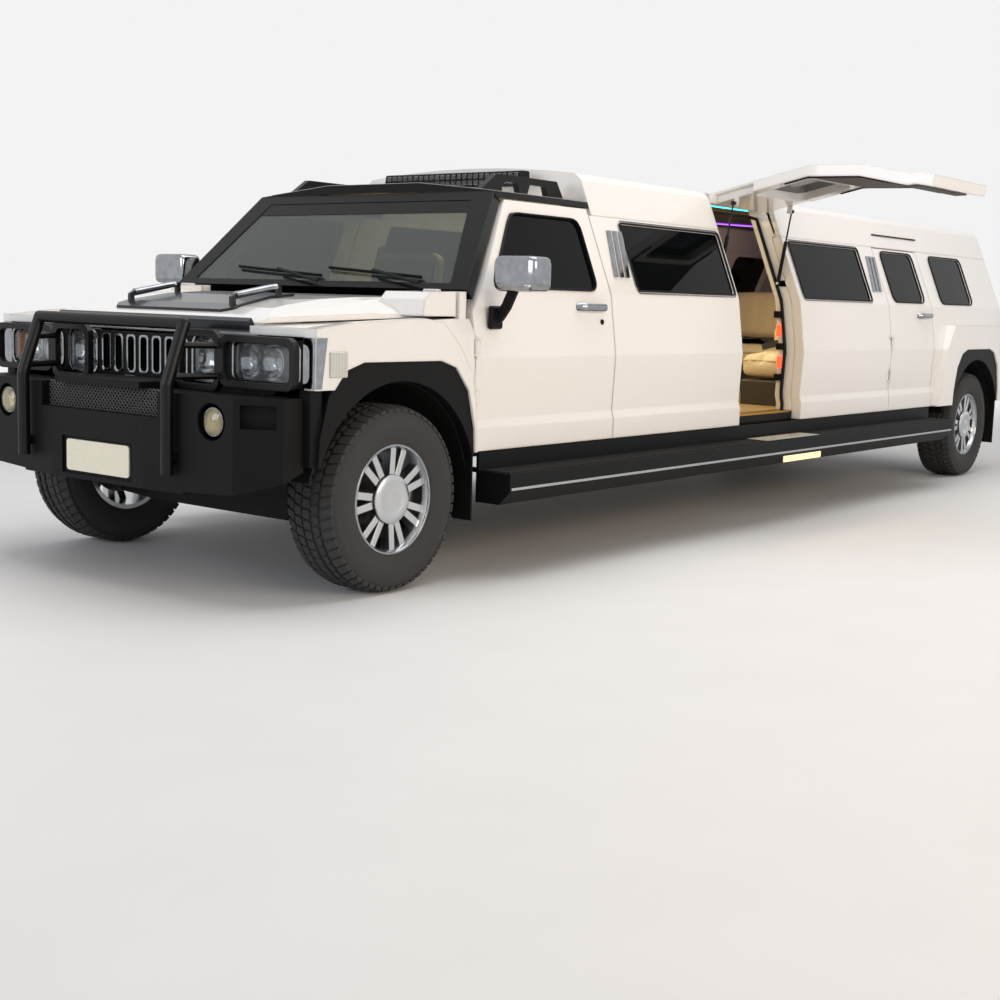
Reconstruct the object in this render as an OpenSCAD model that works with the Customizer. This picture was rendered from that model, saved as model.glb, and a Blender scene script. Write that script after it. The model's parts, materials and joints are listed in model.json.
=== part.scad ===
// Stretch limousine on an off-road wagon's base, with a gull-wing passenger door.
// Millimetres. +X points forward, +Y to the car's left and +Z up.
// The origin lies on the ground, midway between the two axles.

/* [Wheels] */
// Distance between the axles
wheelbase = 6400; // [6200:10:6800]
// How far the tyres' centres lie inside the body's waist
tyre_in = 130; // [120:1:140]
// Outside diameter of the tyres
tyre_d = 776; // [760:2:790]
// Width of the tyres
tyre_w = 265; // [245:5:275]
// Diameter over the rim
rim_d = 458; // [440:2:470]
// Width of the rim
rim_w = 216; // [200:2:230]
// Wall of the rim's barrel
rim_wall = 22; // [16:1:28]
// Number of twin spokes
spoke_pairs = 7; // [5:1:9]
// Diameter of the hub
hub_d = 150; // [134:2:166]
// Diameter of the wheel spindles
spindle_d = 44; // [38:1:52]
// Distance from a front tyre's centre plane inboard to its steering pivot
kingpin_inset = 120; // [112:1:128]
// Diameter of the steering pivot pins
kingpin_d = 28; // [22:1:34]
// Height of the steering knuckle's post
knuckle_h = 220; // [200:5:230]

/* [Body section] */
// Height of the sill's lower edge
sill_z = 555; // [545:1:565]
// Height of the waist, the widest level
waist_z = 960; // [920:5:1000]
// Top of the crease along the lower side
crease_z = 692; // [680:1:704]
// Depth of that crease
crease_in = 12; // [8:1:16]
// Height of the belt line under the windows
belt_z = 1255; // [1235:5:1265]
// Height at which the side panels meet the roof moulding
gutter_z = 1635; // [1628:1:1645]
// Height of the roof moulding's edge
roof_edge_z = 1830; // [1810:5:1850]
// Height of the roof moulding's crown
crown_z = 1885; // [1875:5:1900]
// Half width at the sill and waist
waist_half = 985; // [975:1:990]
// How far the belt line lies inside the waist
belt_in = 41; // [35:1:50]
// How far the roof moulding's edge lies inside the waist
roof_edge_in = 273; // [260:1:280]
// Thickness of the doors and side walls
wall_t = 60; // [52:1:64]
// Thickness of the roofs
roof_t = 40; // [30:1:44]
// Thickness of the window glass
glass_t = 8; // [5:0.5:10]
// How far the glass lies below the outer surface
glass_in = 4; // [2:0.5:8]
// Gap between a door and its frame
shut_gap = 6; // [5:0.5:8]
// Radius of the door and quarter windows' corners
window_r = 45; // [30:1:60]
// Radius of the stretched section's window corners
long_window_r = 16; // [10:1:24]

/* [Stations behind the front axle] */
// Rear edge of the front doors
front_door_end = 1570; // [1560:1:1580]
// Front edge of the gull-wing doorway
jet_back = 2850; // [2840:5:2860]
// Length of the gull-wing doorway
jet_len = 750; // [730:5:780]
// Front face of the raised roof
raised_back = 1600; // [1590:1:1610]
// Front window of the limousine section, its front edge
window_back = 1830; // [1810:5:1850]

/* [Stations from the rear axle] */
// Front edge of the rear doors, ahead of the rear axle
rear_door_ahead = 1500; // [1480:5:1520]
// Thickness of the rear wall
tail_t = 60; // [52:1:64]

/* [Windows] */
// Height of the lower edge of the windows
window_low_z = 1282; // [1275:1:1290]
// Height of the upper edge of the windows
window_top_z = 1605; // [1595:1:1612]

/* [Front doors and cab] */
// Height of the front doors' upper edge
cab_door_top = 1665; // [1660:1:1670]
// Height of the cab roof's edge
cab_edge_z = 1700; // [1695:1:1710]
// Height of the cab roof's crown
cab_crown_z = 1745; // [1740:1:1755]
// Height of the windscreen's lower edge
screen_low_z = 1250; // [1245:1:1255]
// Horizontal lean of the windscreen from its lower edge to the roof
screen_lean = 400; // [385:5:415]
// Depth of the windscreen pillars
pillar_t = 60; // [50:1:64]
// Width of the windscreen pillars
pillar_w = 110; // [90:2:130]

/* [Front end] */
// Height of the bonnet's front edge
bonnet_front_z = 1095; // [1085:1:1105]
// Height of the bonnet's rear edge
bonnet_rear_z = 1215; // [1210:1:1222]
// How far the bonnet's edges lie inside the waist
bonnet_in = 345; // [335:1:355]
// Thickness of the bonnet
bonnet_t = 32; // [26:1:36]
// Thickness of the front wings' skin
wing_t = 34; // [28:1:40]
// Height of the front wings' top at the bulkhead
wing_top_z = 1128; // [1124:1:1134]
// Height of the front wings' top at the nose
wing_front_z = 1084; // [1080:1:1088]
// Half width of the engine
engine_half = 280; // [260:5:290]
// From the engine's top up to the bonnet's front edge
engine_gap = 110; // [100:1:130]
// Radius inside the black arch trims
arch_r = 486; // [480:1:492]
// How much less than that radius the white openings reach to each side
arch_in = 16; // [12:1:20]
// How far the white openings rise above that radius
arch_rise = 80; // [74:1:86]
// From the front arch's radius back to the front doors
door_behind_arch = 4; // [1:1:10]
// From the front arch's radius forward to the bulkhead's face
bulkhead_in_arch = 86; // [80:1:92]
// From the front arch's radius back to the bonnet's front edge
nose_in_arch = 31; // [26:1:36]
// From the rear arch's radius forward to the rear doors
rear_door_gap = 284; // [278:1:294]
// From the rear arch's radius back to the body's rear face
tail_behind_arch = 124; // [110:1:140]
// Width by which the wheel-arch flares stand out
flare_out = 26; // [16:1:34]
// Width by which the rear flares stand out
rear_flare_out = 46; // [36:1:54]
// Height of the flares' flat top
flare_top_z = 1128; // [1115:1:1132]
// Front face of the bumper, ahead of the bonnet's front edge
bumper_reach = 290; // [284:1:300]
// Depth of the bumper from front to back
bumper_deep = 245; // [230:1:250]
// Height of the bumper's lower edge
bumper_low_z = 425; // [415:1:435]
// Height of the bumper's top
bumper_top_z = 850; // [840:1:855]
// How far the bumpers' ends lie inside the waist
bumper_in = 35; // [25:1:50]
// Diameter of the bull bar's tubes
bull_tube_d = 50; // [44:1:60]
// Half distance between the bull bar's uprights
bull_half = 470; // [450:1:485]
// Height of the bull bar's top
bull_top_z = 1110; // [1090:1:1120]
// Number of slots in the grille
grille_slots = 7; // [5:1:8]
// Diameter of the round lamps
lamp_d = 150; // [130:2:160]
// Distance of the inner lamps from the middle
lamp_y = 410; // [406:1:416]
// Height of the lamps' middle
lamp_z = 942; // [938:1:946]
// Diameter of the fog lamps
fog_d = 120; // [100:2:130]

/* [Gull-wing door] */
// Angle by which the door stands open
jet_open = 81; // [70:1:82]
// Height of the struts' lower pivots
strut_pivot_z = 1360; // [1350:1:1370]
// How far the struts' lower pivots lie inside the waist
strut_pivot_in = 185; // [180:1:190]
// Diameter of the strut tubes
strut_tube_d = 22; // [18:1:24]
// Length of the strut tubes
strut_tube_len = 250; // [240:1:256]
// Diameter of the strut rods
strut_rod_d = 10; // [8:0.5:12]
// Diameter of the strut pins
strut_pin_d = 16; // [12:1:18]

/* [Steps, rack and rear] */
// Top of the running boards
step_top_z = 470; // [460:1:480]
// Height of the running boards
step_h = 140; // [120:2:150]
// Width of the running boards
step_w = 190; // [170:2:210]
// Diameter of the rack's tubes
rack_tube_d = 32; // [26:1:36]
// How far the rack's rails lie inside the waist
rack_in = 365; // [345:1:385]
// Gap between the light bar's ends and the rack's rails
light_bar_in = 165; // [145:1:185]
// How far the tailgate's opening ends inside the waist
gate_in = 345; // [335:1:355]
// Depth of the rear bumper
rear_bumper_deep = 150; // [130:5:170]
// Width inside the tow receiver's square tube
receiver_in = 51; // [50:0.5:52]
// Wall of the tow receiver's tube
receiver_wall = 8; // [6:0.5:10]
// Diameter of the tow pin's hole
tow_pin_d = 16; // [14:0.5:17]

/* [Inside] */
// Thickness of the floor
floor_t = 40; // [34:1:44]
// How far the dashboard and benches end inside the waist
cabin_in = 185; // [175:1:195]
// Depth of the dashboard
dash_deep = 330; // [300:5:350]
// Height of the dashboard's lower edge
dash_low_z = 960; // [930:5:980]
// Diameter of the steering wheel's rim
steer_d = 360; // [340:2:380]
// Distance of the front seats and the steering wheel from the middle
seat_y = 390; // [380:1:400]
// Length of a seat's cushion
seat_len = 520; // [500:5:540]
// Width of a front seat
seat_w = 520; // [490:5:540]
// Height of the seat cushions above the floor
seat_h = 330; // [310:5:345]
// Thickness of the seat backs
seat_back_t = 140; // [120:2:150]
// Height of the front seat backs
seat_back_h = 560; // [530:5:590]
// Width of the single seat behind the gull-wing doorway
side_seat_w = 380; // [360:5:385]
// Depth of the bench along the right side
bench_deep = 440; // [420:5:460]
// Height of the benches' backs
bench_back_h = 440; // [400:5:480]
// Depth of the bar cabinet
bar_deep = 360; // [330:5:380]
// Height of the bar cabinet
bar_h = 480; // [450:5:520]

/* [Hinges] */
// Diameter of the hinge pins
hinge_pin_d = 10; // [8:0.5:11]
// Outside diameter of the hinge barrels
hinge_barrel_d = 16; // [14:0.5:18]
// Height of a hinge's moving barrel
hinge_h = 60; // [50:1:70]

/* [Hidden] */
$fn = 48;
slip = 0.06;
seat = 0.3;
front_x = wheelbase / 2;
rear_x = -wheelbase / 2;
belt_half = waist_half - belt_in;
roof_edge_half = waist_half - roof_edge_in;
bonnet_half = waist_half - bonnet_in;
bumper_half = waist_half - bumper_in;
gate_half = waist_half - gate_in;
rack_half = waist_half - rack_in;
light_bar_half = rack_half - light_bar_in;
cabin_half = waist_half - cabin_in;
strut_pivot_y = waist_half - strut_pivot_in;
arch_half = arch_r - arch_in;
arch_top = arch_r + arch_rise;
front_door_back = arch_r + door_behind_arch;
bulkhead_back = arch_r - bulkhead_in_arch;
nose_ahead = arch_r - nose_in_arch;
bumper_ahead = nose_ahead + bumper_reach;
rear_door_end = arch_r + rear_door_gap;
tail_behind = arch_r + tail_behind_arch;
floor_z = sill_z + floor_t;
axle_z = tyre_d / 2;
tyre_y = waist_half - tyre_in;
kingpin_y = tyre_y - kingpin_inset;
tail_x = rear_x - tail_behind;
hub_low = -rim_w / 2 + 30;
spindle_tip = rim_w / 2 - 40;
lug_h = 14;
hinge_pocket_r = hinge_barrel_d / 2 + 4;
hinge_levels = [790, 1010];
bonnet_hinge_y = waist_half - 185;
cowl_gap = 8;
bonnet_hinge_x = back(bulkhead_back + cowl_gap / 2);
cowl_low_z = bonnet_rear_z - 60;
box_low_y = waist_half - 295;
box_high_z = 1242;
nose_x = front_x + nose_ahead;
face_ahead = bumper_reach - bumper_deep;
face_x = nose_x + face_ahead;
shelf_tilt = atan((wing_top_z - wing_front_z) / (bulkhead_back + nose_ahead + face_ahead));
bonnet_tilt = atan((bonnet_rear_z - bonnet_front_z) / (bulkhead_back + nose_ahead));
bull_foot = 45;
bull_foot_z = 560;
fog_y = 668;
fog_z = 718;
housing_t = 20;
rail_w = 80;
rail_low = 445;
rail_y = 420;
housing_y = rail_y + rail_w / 2 + housing_t;
plate_half = 205;
plate_low = bumper_low_z + 33;
plate_h = 130;
mesh_half = 380;
mesh_low = bumper_top_z - 135;
mesh_top = bumper_top_z - 28;

// Half width of the body's outer surface at a height.
section = [[sill_z, waist_half], [crease_z - 38, waist_half], [crease_z, waist_half - crease_in],
           [waist_z, waist_half], [belt_z, belt_half], [roof_edge_z, roof_edge_half]];
function side_y(z) = lookup(z, section);
function ahead(d) = front_x + d;
function back(d) = front_x - d;
function levels(z0, z1) = concat([z0], [for (s = section) if (s[0] > z0 && s[0] < z1) s[0]], [z1]);
function reversed(list) = [for (i = [len(list) - 1:-1:0]) list[i]];

// Points of a polygon with its corners rounded to radius r in n steps.
function unit(v) = v / norm(v);
function corner(a, b, c, r, n) =
    let (u = unit(a - b), w = unit(c - b), half = acos(u * w) / 2, d = r / tan(half),
         centre = b + unit(u + w) * r / sin(half), p = b + u * d - centre, q = b + w * d - centre)
    [for (i = [0:n]) centre + r * unit(p * (1 - i / n) + q * i / n)];
function rounded(p, r, n = 4) =
    [for (i = [0:len(p) - 1]) each corner(p[(i + len(p) - 1) % len(p)], p[i], p[(i + 1) % len(p)], r, n)];

// A shape drawn in the Y-Z plane, carried along X.
module along_x(x0, x1) {
    translate([x0, 0, 0]) rotate([90, 0, 90]) linear_extrude(x1 - x0) children();
}

// A shape drawn in the X-Z plane, carried along Y.
module along_y(y0, y1) {
    translate([0, y1, 0]) rotate([90, 0, 0]) linear_extrude(y1 - y0) children();
}

// A box between two corners.
module block(a, b) {
    translate(a) cube(b - a);
}

// A rod of diameter d from a point along an axis.
module rod_x(p, d, len) {
    translate(p) rotate([0, 90, 0]) cylinder(d = d, h = len);
}
module rod_y(p, d, len) {
    translate(p) rotate([-90, 0, 0]) cylinder(d = d, h = len);
}
module rod_z(p, d, len) {
    translate(p) cylinder(d = d, h = len);
}

module both_sides() {
    children();
    mirror([0, 1, 0]) children();
}

module on_side(side) {
    mirror([0, side < 0 ? 1 : 0, 0]) children();
}

// The side wall's section between two heights, from depth a to depth b below the outer surface.
module wall_section(z0, z1, a, b) {
    z = levels(z0, z1);
    polygon(concat([for (v = z) [side_y(v) - a, v]], reversed([for (v = z) [side_y(v) - b, v]])));
}

// A left side wall between two stations and two heights.
module wall(x0, x1, z0, z1) {
    along_x(x0, x1) wall_section(z0, z1, 0, wall_t);
}

// The outline of a window between two stations, with corners of radius r.
module window_outline(x0, x1, r) {
    polygon(rounded([[x0, window_low_z], [x1, window_low_z], [x1, window_top_z], [x0, window_top_z]], r));
}

module window_cut(x0, x1, r = window_r) {
    along_y(roof_edge_half - wall_t, waist_half) window_outline(x0, x1, r);
}

module pane(x0, x1, r = window_r) {
    intersection() {
        window_cut(x0, x1, r);
        along_x(x0 - 1, x1 + 1)
            wall_section(window_low_z - 1, window_top_z + 1, glass_in, glass_in + glass_t);
    }
}

// Hinges stand along Z at the origin: the fixed leaf towards +X, the moving leaf towards -X,
// and both sunk towards -Y below the surface.

// The fixed half: a pin held by two lugs on a leaf.
module hinge_fixed() {
    rod_z([0, 0, -hinge_h / 2 - lug_h], hinge_pin_d, hinge_h + 2 * lug_h);
    for (low = [-hinge_h / 2 - lug_h, hinge_h / 2 + seat]) {
        rod_z([0, 0, low], hinge_barrel_d, lug_h - seat);
        block([0, -hinge_barrel_d, low], [2 * hinge_barrel_d, 0, low + lug_h - seat]);
    }
}

// The moving half: a bored barrel on a leaf.
module hinge_moving() {
    difference() {
        union() {
            rod_z([0, 0, -hinge_h / 2], hinge_barrel_d, hinge_h);
            block([-2 * hinge_barrel_d, -hinge_barrel_d, -hinge_h / 2], [0, 0, hinge_h / 2]);
        }
        rod_z([0, 0, -hinge_h], hinge_pin_d + 2 * slip, 2 * hinge_h);
    }
}

// Room for a hinge in the edges beside it.
module hinge_pocket() {
    tall = hinge_h + 2 * lug_h + 8;
    rod_z([0, 0, -tall / 2], 2 * hinge_pocket_r, tall);
}

module at_door_hinges(x) {
    for (z = hinge_levels) translate([x, waist_half, z]) children();
}

module at_bonnet_hinges() {
    for (y = [-bonnet_hinge_y, bonnet_hinge_y])
        translate([bonnet_hinge_x, y, box_high_z]) rotate([0, 0, 180]) rotate([90, 0, 0]) children();
}

module at_gate_hinges() {
    for (z = gate_hinge_levels) translate([tail_x, gate_half - shut_gap / 2, z]) rotate(90) children();
}

// Chassis
module ladder_frame() {
    rail_front = ahead(bumper_ahead - bumper_deep);
    color("dimgray") {
        both_sides()
            block([tail_x + 40, rail_y - rail_w / 2, rail_low], [rail_front, rail_y + rail_w / 2, sill_z]);
        for (x = [tail_x + 40, rear_x - 260, rear_x + 700, 0, back(1900), back(800), front_x - 40,
                  ahead(nose_ahead - 60)])
            block([x, -rail_y, rail_low], [x + rail_w, rail_y, sill_z]);
        difference() {
            block([tail_x - rear_bumper_deep - 20, -receiver_in / 2 - receiver_wall, rail_low - receiver_in],
                  [tail_x + 60, receiver_in / 2 + receiver_wall, rail_low + 2 * receiver_wall]);
            block([tail_x - rear_bumper_deep - 21, -receiver_in / 2, rail_low - receiver_in + receiver_wall],
                  [tail_x + 20, receiver_in / 2, rail_low + receiver_wall]);
            rod_y([tail_x - rear_bumper_deep + 20, -receiver_in, rail_low - receiver_in / 2 + receiver_wall],
                  tow_pin_d, 2 * receiver_in);
        }
    }
}

module engine_block() {
    color("gray")
        block([back(bulkhead_back - 70), -engine_half, sill_z],
              [ahead(bulkhead_back - 70), engine_half, bonnet_front_z - engine_gap]);
}

// A wishbone seen from above, from the steering pivot to the frame.
module wishbone(z, inner_y, inner_half) {
    translate([front_x, 0, z]) linear_extrude(25)
        polygon([[-34, kingpin_y + 34], [34, kingpin_y + 34], [inner_half, inner_y], [-inner_half, inner_y]]);
}

module front_suspension() {
    low = axle_z - knuckle_h / 2 - seat;
    high = axle_z + knuckle_h / 2 + seat;
    color("dimgray") {
        block([front_x - 110, -rail_y - rail_w / 2, low - 25], [front_x + 110, rail_y + rail_w / 2, rail_low]);
        both_sides() {
            wishbone(low - 25, rail_y, 110);
            rod_z([front_x, kingpin_y, low - 10], kingpin_d, 70);
            wishbone(high, rail_y + rail_w / 2, 90);
            rod_z([front_x, kingpin_y, high - 60], kingpin_d, 70);
        }
    }
}

module rear_axle() {
    tube_d = 90;
    color("dimgray") {
        rod_y([rear_x, -tyre_y - hub_low + seat, axle_z], tube_d, 2 * (tyre_y + hub_low - seat));
        rod_y([rear_x, -tyre_y - spindle_tip, axle_z], spindle_d, 2 * (tyre_y + spindle_tip));
        translate([rear_x, 0, axle_z]) sphere(d = 270);
        rod_x([rear_x, 0, axle_z], 80, wheelbase / 2 + 400);
        both_sides() block([rear_x - 60, rail_y - 30, axle_z], [rear_x + 60, rail_y + 30, rail_low]);
    }
}

module left_knuckle() {
    color("gray") steered(1);
}

module right_knuckle() {
    color("gray") steered(-1);
}

module steered(side) {
    on_side(side) translate([front_x, kingpin_y, axle_z]) difference() {
        union() {
            rod_z([0, 0, -knuckle_h / 2], kingpin_d + 36, knuckle_h);
            rod_y([0, 0, 0], spindle_d + 30, kingpin_inset + hub_low - seat);
            rod_y([0, 0, 0], spindle_d, kingpin_inset + spindle_tip);
        }
        for (z = [-knuckle_h / 2 - 1, knuckle_h / 2 - 64]) rod_z([0, 0, z], kingpin_d + 2 * slip, 65);
    }
}

// Wheels, drawn about +Y with the outer face towards +Y
module rim_shape() {
    outer = rim_d / 2;
    face = rim_w / 2 - 8;
    rotate([-90, 0, 0]) difference() {
        union() {
            rotate_extrude() polygon([[outer - rim_wall, -rim_w / 2], [outer, -rim_w / 2], [outer, rim_w / 2],
                                      [outer - 12, rim_w / 2], [outer - rim_wall, rim_w / 2 - 24]]);
            translate([0, 0, hub_low]) cylinder(d = hub_d, h = face - hub_low);
            for (i = [0:spoke_pairs - 1]) rotate(i * 360 / spoke_pairs)
                for (s = [-1, 1]) rotate(s * 9) rotate([90, 0, 90]) linear_extrude(outer - rim_wall / 2)
                    polygon([[-19, face - 52], [19, face - 52], [15, face - 6], [-15, face - 6]]);
        }
        translate([0, 0, hub_low - 1]) cylinder(d = spindle_d + 2 * slip, h = spindle_tip - hub_low + 4);
    }
}

module tyre_shape() {
    bead = rim_d / 2 + 0.2;
    tread = tyre_d / 2;
    half = tyre_w / 2;
    profile = [[bead, half - 24], [bead + 18, half - 8], [(bead + tread) / 2, half], [tread - 38, half - 4],
               [tread - 12, half - 16], [tread, half - 44]];
    rotate([-90, 0, 0]) rotate_extrude($fn = 96)
        polygon(concat(profile, reversed([for (p = profile) [p[0], -p[1]]])));
}

module at_wheel(x, side) {
    on_side(side) translate([x, tyre_y, axle_z]) children();
}

module front_left_rim() { color("silver") at_wheel(front_x, 1) rim_shape(); }
module front_left_tyre() { color("black") at_wheel(front_x, 1) tyre_shape(); }
module front_right_rim() { color("silver") at_wheel(front_x, -1) rim_shape(); }
module front_right_tyre() { color("black") at_wheel(front_x, -1) tyre_shape(); }
module rear_left_rim() { color("silver") at_wheel(rear_x, 1) rim_shape(); }
module rear_left_tyre() { color("black") at_wheel(rear_x, 1) tyre_shape(); }
module rear_right_rim() { color("silver") at_wheel(rear_x, -1) rim_shape(); }
module rear_right_tyre() { color("black") at_wheel(rear_x, -1) tyre_shape(); }

// Floor with the rear wheel housings
module floor_pan() {
    inner_y = tyre_y - tyre_w / 2 - 40;
    edge = waist_half - wall_t;
    color("tan") difference() {
        union() {
            block([tail_x + tail_t, -edge, sill_z], [back(bulkhead_back + 40), edge, floor_z]);
            both_sides() rod_y([rear_x, inner_y - housing_t, axle_z], 2 * (arch_r + housing_t),
                               edge - inner_y + housing_t);
        }
        both_sides() rod_y([rear_x, inner_y, axle_z], 2 * arch_r, edge);
        both_sides() rod_y([front_x, housing_y - seat, axle_z], 2 * (arch_r + housing_t + seat), edge);
        block([rear_x - 2 * arch_r, -edge - 1, -arch_r], [rear_x + 2 * arch_r, edge + 1, sill_z]);
    }
}

// Front end
module front_bulkhead() {
    edge = waist_half - wall_t;
    cowl_top = screen_low_z - pillar_t * sin(screen_tilt) - seat;
    color("black") difference() {
        union() {
            block([back(bulkhead_back + 40), -edge, sill_z], [back(bulkhead_back), edge, cowl_low_z]);
            block([back(front_door_back - shut_gap), -box_low_y + seat, cowl_low_z],
                  [back(bulkhead_back + cowl_gap), box_low_y - seat, cowl_top]);
            both_sides() intersection() {
                rod_y([front_x, housing_y, axle_z], 2 * (arch_r + housing_t), edge - housing_y);
                block([back(front_door_back), housing_y, sill_z], [back(bulkhead_back), edge, cowl_low_z]);
            }
        }
        both_sides() rod_y([front_x, housing_y + housing_t, axle_z], 2 * arch_r, edge);
    }
}

// The squared opening of a wheel arch, about the axle.
module arch_outline(inset = 0) {
    h = arch_half - inset;
    t = arch_top - inset;
    low = sill_z - axle_z;
    polygon([[-h, low - 1], [-0.985 * h, 0.48 * t], [-0.89 * h, 0.77 * t], [-0.71 * h, 0.945 * t],
             [-0.5 * h, t], [0.5 * h, t],
             [0.71 * h, 0.945 * t], [0.89 * h, 0.77 * t], [0.985 * h, 0.48 * t], [h, low - 1]]);
}

// The opening of an arch, cut through the side about the axle at x.
module arch_cut(x) {
    translate([x, 0, axle_z]) along_y(tyre_y - tyre_w, 2 * waist_half) arch_outline();
}

// A flare drawn from the side, standing out from the waist.
module flare(points, out) {
    along_y(waist_half - wing_t, waist_half + out) polygon(points);
}

module wing_section() {
    inner = bonnet_half + shut_gap;
    skin = waist_half - wing_t;
    deep = wing_top_z - sill_z + 60;
    polygon([[waist_half, -deep], [waist_half, -70], [waist_half - 40, 0], [inner, 0], [inner, -wing_t],
             [skin, -wing_t], [skin, -deep]]);
}

module front_wings() {
    rear = back(front_door_back - shut_gap);
    hinge_x = back(front_door_back - shut_gap / 2);
    top = flare_top_z;
    color("white") {
        difference() {
            both_sides() union() {
                intersection() {
                    translate([back(bulkhead_back), 0, wing_top_z]) rotate([0, shelf_tilt, 0])
                        along_x(-50, 2 * nose_ahead + bulkhead_back) wing_section();
                    block([back(bulkhead_back), 0, sill_z], [face_x, waist_half, wing_top_z]);
                }
                along_x(rear, back(bulkhead_back)) polygon([[waist_half, sill_z], [waist_half, wing_top_z - 70],
                    [waist_half - 40, wing_top_z], [waist_half - wall_t, wing_top_z], [waist_half - wall_t, sill_z]]);
                flare([[rear, sill_z], [rear + 14, top - 368], [rear + 44, top - 228], [rear + 132, top - 110],
                       [rear + 240, top - 15], [rear + 360, top], [face_x - 200, top - 20], [face_x, top - 44],
                       [face_x, sill_z]], flare_out);
                block([back(front_door_back - 35), box_low_y, cowl_low_z + seat],
                      [back(bulkhead_back + cowl_gap), waist_half - 35, box_high_z]);
                block([back(front_door_back - 35), waist_half - wall_t, wing_top_z - 60],
                      [back(bulkhead_back + cowl_gap), waist_half - 35, box_high_z]);
            }
            both_sides() arch_cut(front_x);
            block([front_x, -2 * waist_half, 0], [face_x + 1, 2 * waist_half, bumper_top_z]);
            both_sides() at_door_hinges(hinge_x) hinge_pocket();
            at_bonnet_hinges() hinge_pocket();
        }
        both_sides() at_door_hinges(hinge_x) hinge_fixed();
        at_bonnet_hinges() hinge_fixed();
    }
}

// A black trim inside the opening about the axle at x, out to the given side.
module arch_trim(x, outer) {
    difference() {
        intersection() {
            translate([x, 0, axle_z]) along_y(waist_half - wall_t, outer) arch_outline(seat);
            block([x - arch_half, 0, sill_z], [x + arch_half, outer, axle_z + arch_top]);
        }
        rod_y([x, 0, axle_z], 2 * arch_r, 2 * waist_half);
    }
}

module arch_trims() {
    color("black") both_sides() {
        arch_trim(front_x, waist_half + flare_out - 10);
        arch_trim(rear_x, waist_half + rear_flare_out - 10);
        difference() {
            block([front_x + arch_half - 30, waist_half - wall_t, sill_z],
                  [face_x - seat, waist_half, bumper_top_z - seat]);
            rod_y([front_x, 0, axle_z], 2 * arch_r, 2 * waist_half);
        }
    }
}

// The bonnet's line from the cowl to the nose, lowered by d.
function bonnet_line(d) =
    let (x0 = back(bulkhead_back), drop = bonnet_rear_z - bonnet_front_z)
    [[x0, bonnet_rear_z - d], [x0 + 250, bonnet_rear_z - 0.07 * drop - d],
     [x0 + 500, bonnet_rear_z - 0.22 * drop - d], [nose_x - 155, bonnet_rear_z - 0.52 * drop - d],
     [nose_x - 55, bonnet_front_z + 0.23 * drop - d], [nose_x, bonnet_front_z - d]];

// Height of the bonnet's line at a station.
function bonnet_z(x) = lookup(x, bonnet_line(0));

// The crowned shape over the shelf of the wings.
module bonnet_crown() {
    x0 = back(bulkhead_back);
    rear_half = waist_half - 115;
    nose_half = bonnet_half + 10;
    shelf = wing_top_z + shut_gap;
    nose_shelf = shelf - (nose_x - x0) * tan(shelf_tilt);
    crown = [[rear_half + 1, -80], [0.897 * rear_half, -25], [0.759 * rear_half, 15], [0.644 * rear_half, 38],
             [0.437 * rear_half, 50]];
    intersection() {
        along_y(-rear_half, rear_half) polygon(concat(bonnet_line(0), [[nose_x, nose_shelf], [x0, shelf]]));
        translate([x0, 0, bonnet_rear_z]) rotate([0, bonnet_tilt, 0]) along_x(-60, 2 * nose_ahead + bulkhead_back)
            polygon(concat([for (p = reversed(crown)) [-p[0], p[1]]],
                           [[-rear_half - 1, -300], [rear_half + 1, -300]], crown));
        translate([0, 0, sill_z]) linear_extrude(wing_top_z)
            polygon([[x0 - 1, -rear_half], [nose_x + 1, -nose_half], [nose_x + 1, nose_half], [x0 - 1, rear_half]]);
    }
}

module bonnet() {
    x0 = back(bulkhead_back);
    hollow = [x0 + 60, x0 + 250, x0 + 500, nose_x - 215];
    color("white") {
        difference() {
            union() {
                difference() {
                    bonnet_crown();
                    along_y(-bonnet_half + 40, bonnet_half - 40)
                        polygon(concat([for (x = hollow) [x, bonnet_z(x) - bonnet_t]],
                                       [[hollow[3], sill_z], [hollow[0], sill_z]]));
                }
                along_y(-bonnet_half, bonnet_half)
                    polygon([[nose_x, bonnet_front_z - 1], [nose_x, bonnet_front_z - bonnet_t - 20],
                             [nose_x - 40, bonnet_front_z - bonnet_t], [nose_x - 240, bonnet_front_z - bonnet_t + 20],
                             [nose_x - 240, bonnet_front_z + 40]]);
                both_sides() along_y(box_low_y, waist_half - 45)
                    polygon([[x0, wing_top_z + shut_gap + 2], [x0, box_high_z], [x0 + 170, box_high_z - 6],
                             [x0 + 205, box_high_z - 40], [x0 + 210, wing_top_z + shut_gap + 2]]);
            }
            at_bonnet_hinges() hinge_pocket();
        }
        at_bonnet_hinges() hinge_moving();
    }
}

// A grab handle seen from the side, between two stations.
module grab_bar(x1, x0, up) {
    foot = 22;
    t = 16;
    z1 = bonnet_z(x1) + 10;
    z0 = bonnet_z(x0) + 10;
    polygon([[x1, z1], [x1, z1 + up - 12], [x1 - 20, z1 + up], [x0 + 20, z0 + up], [x0, z0 + up - 12], [x0, z0],
             [x0 + foot, z0], [x0 + foot, z0 + up - t - 6], [x1 - foot, z1 + up - t - 6], [x1 - foot, z1]]);
}

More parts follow.
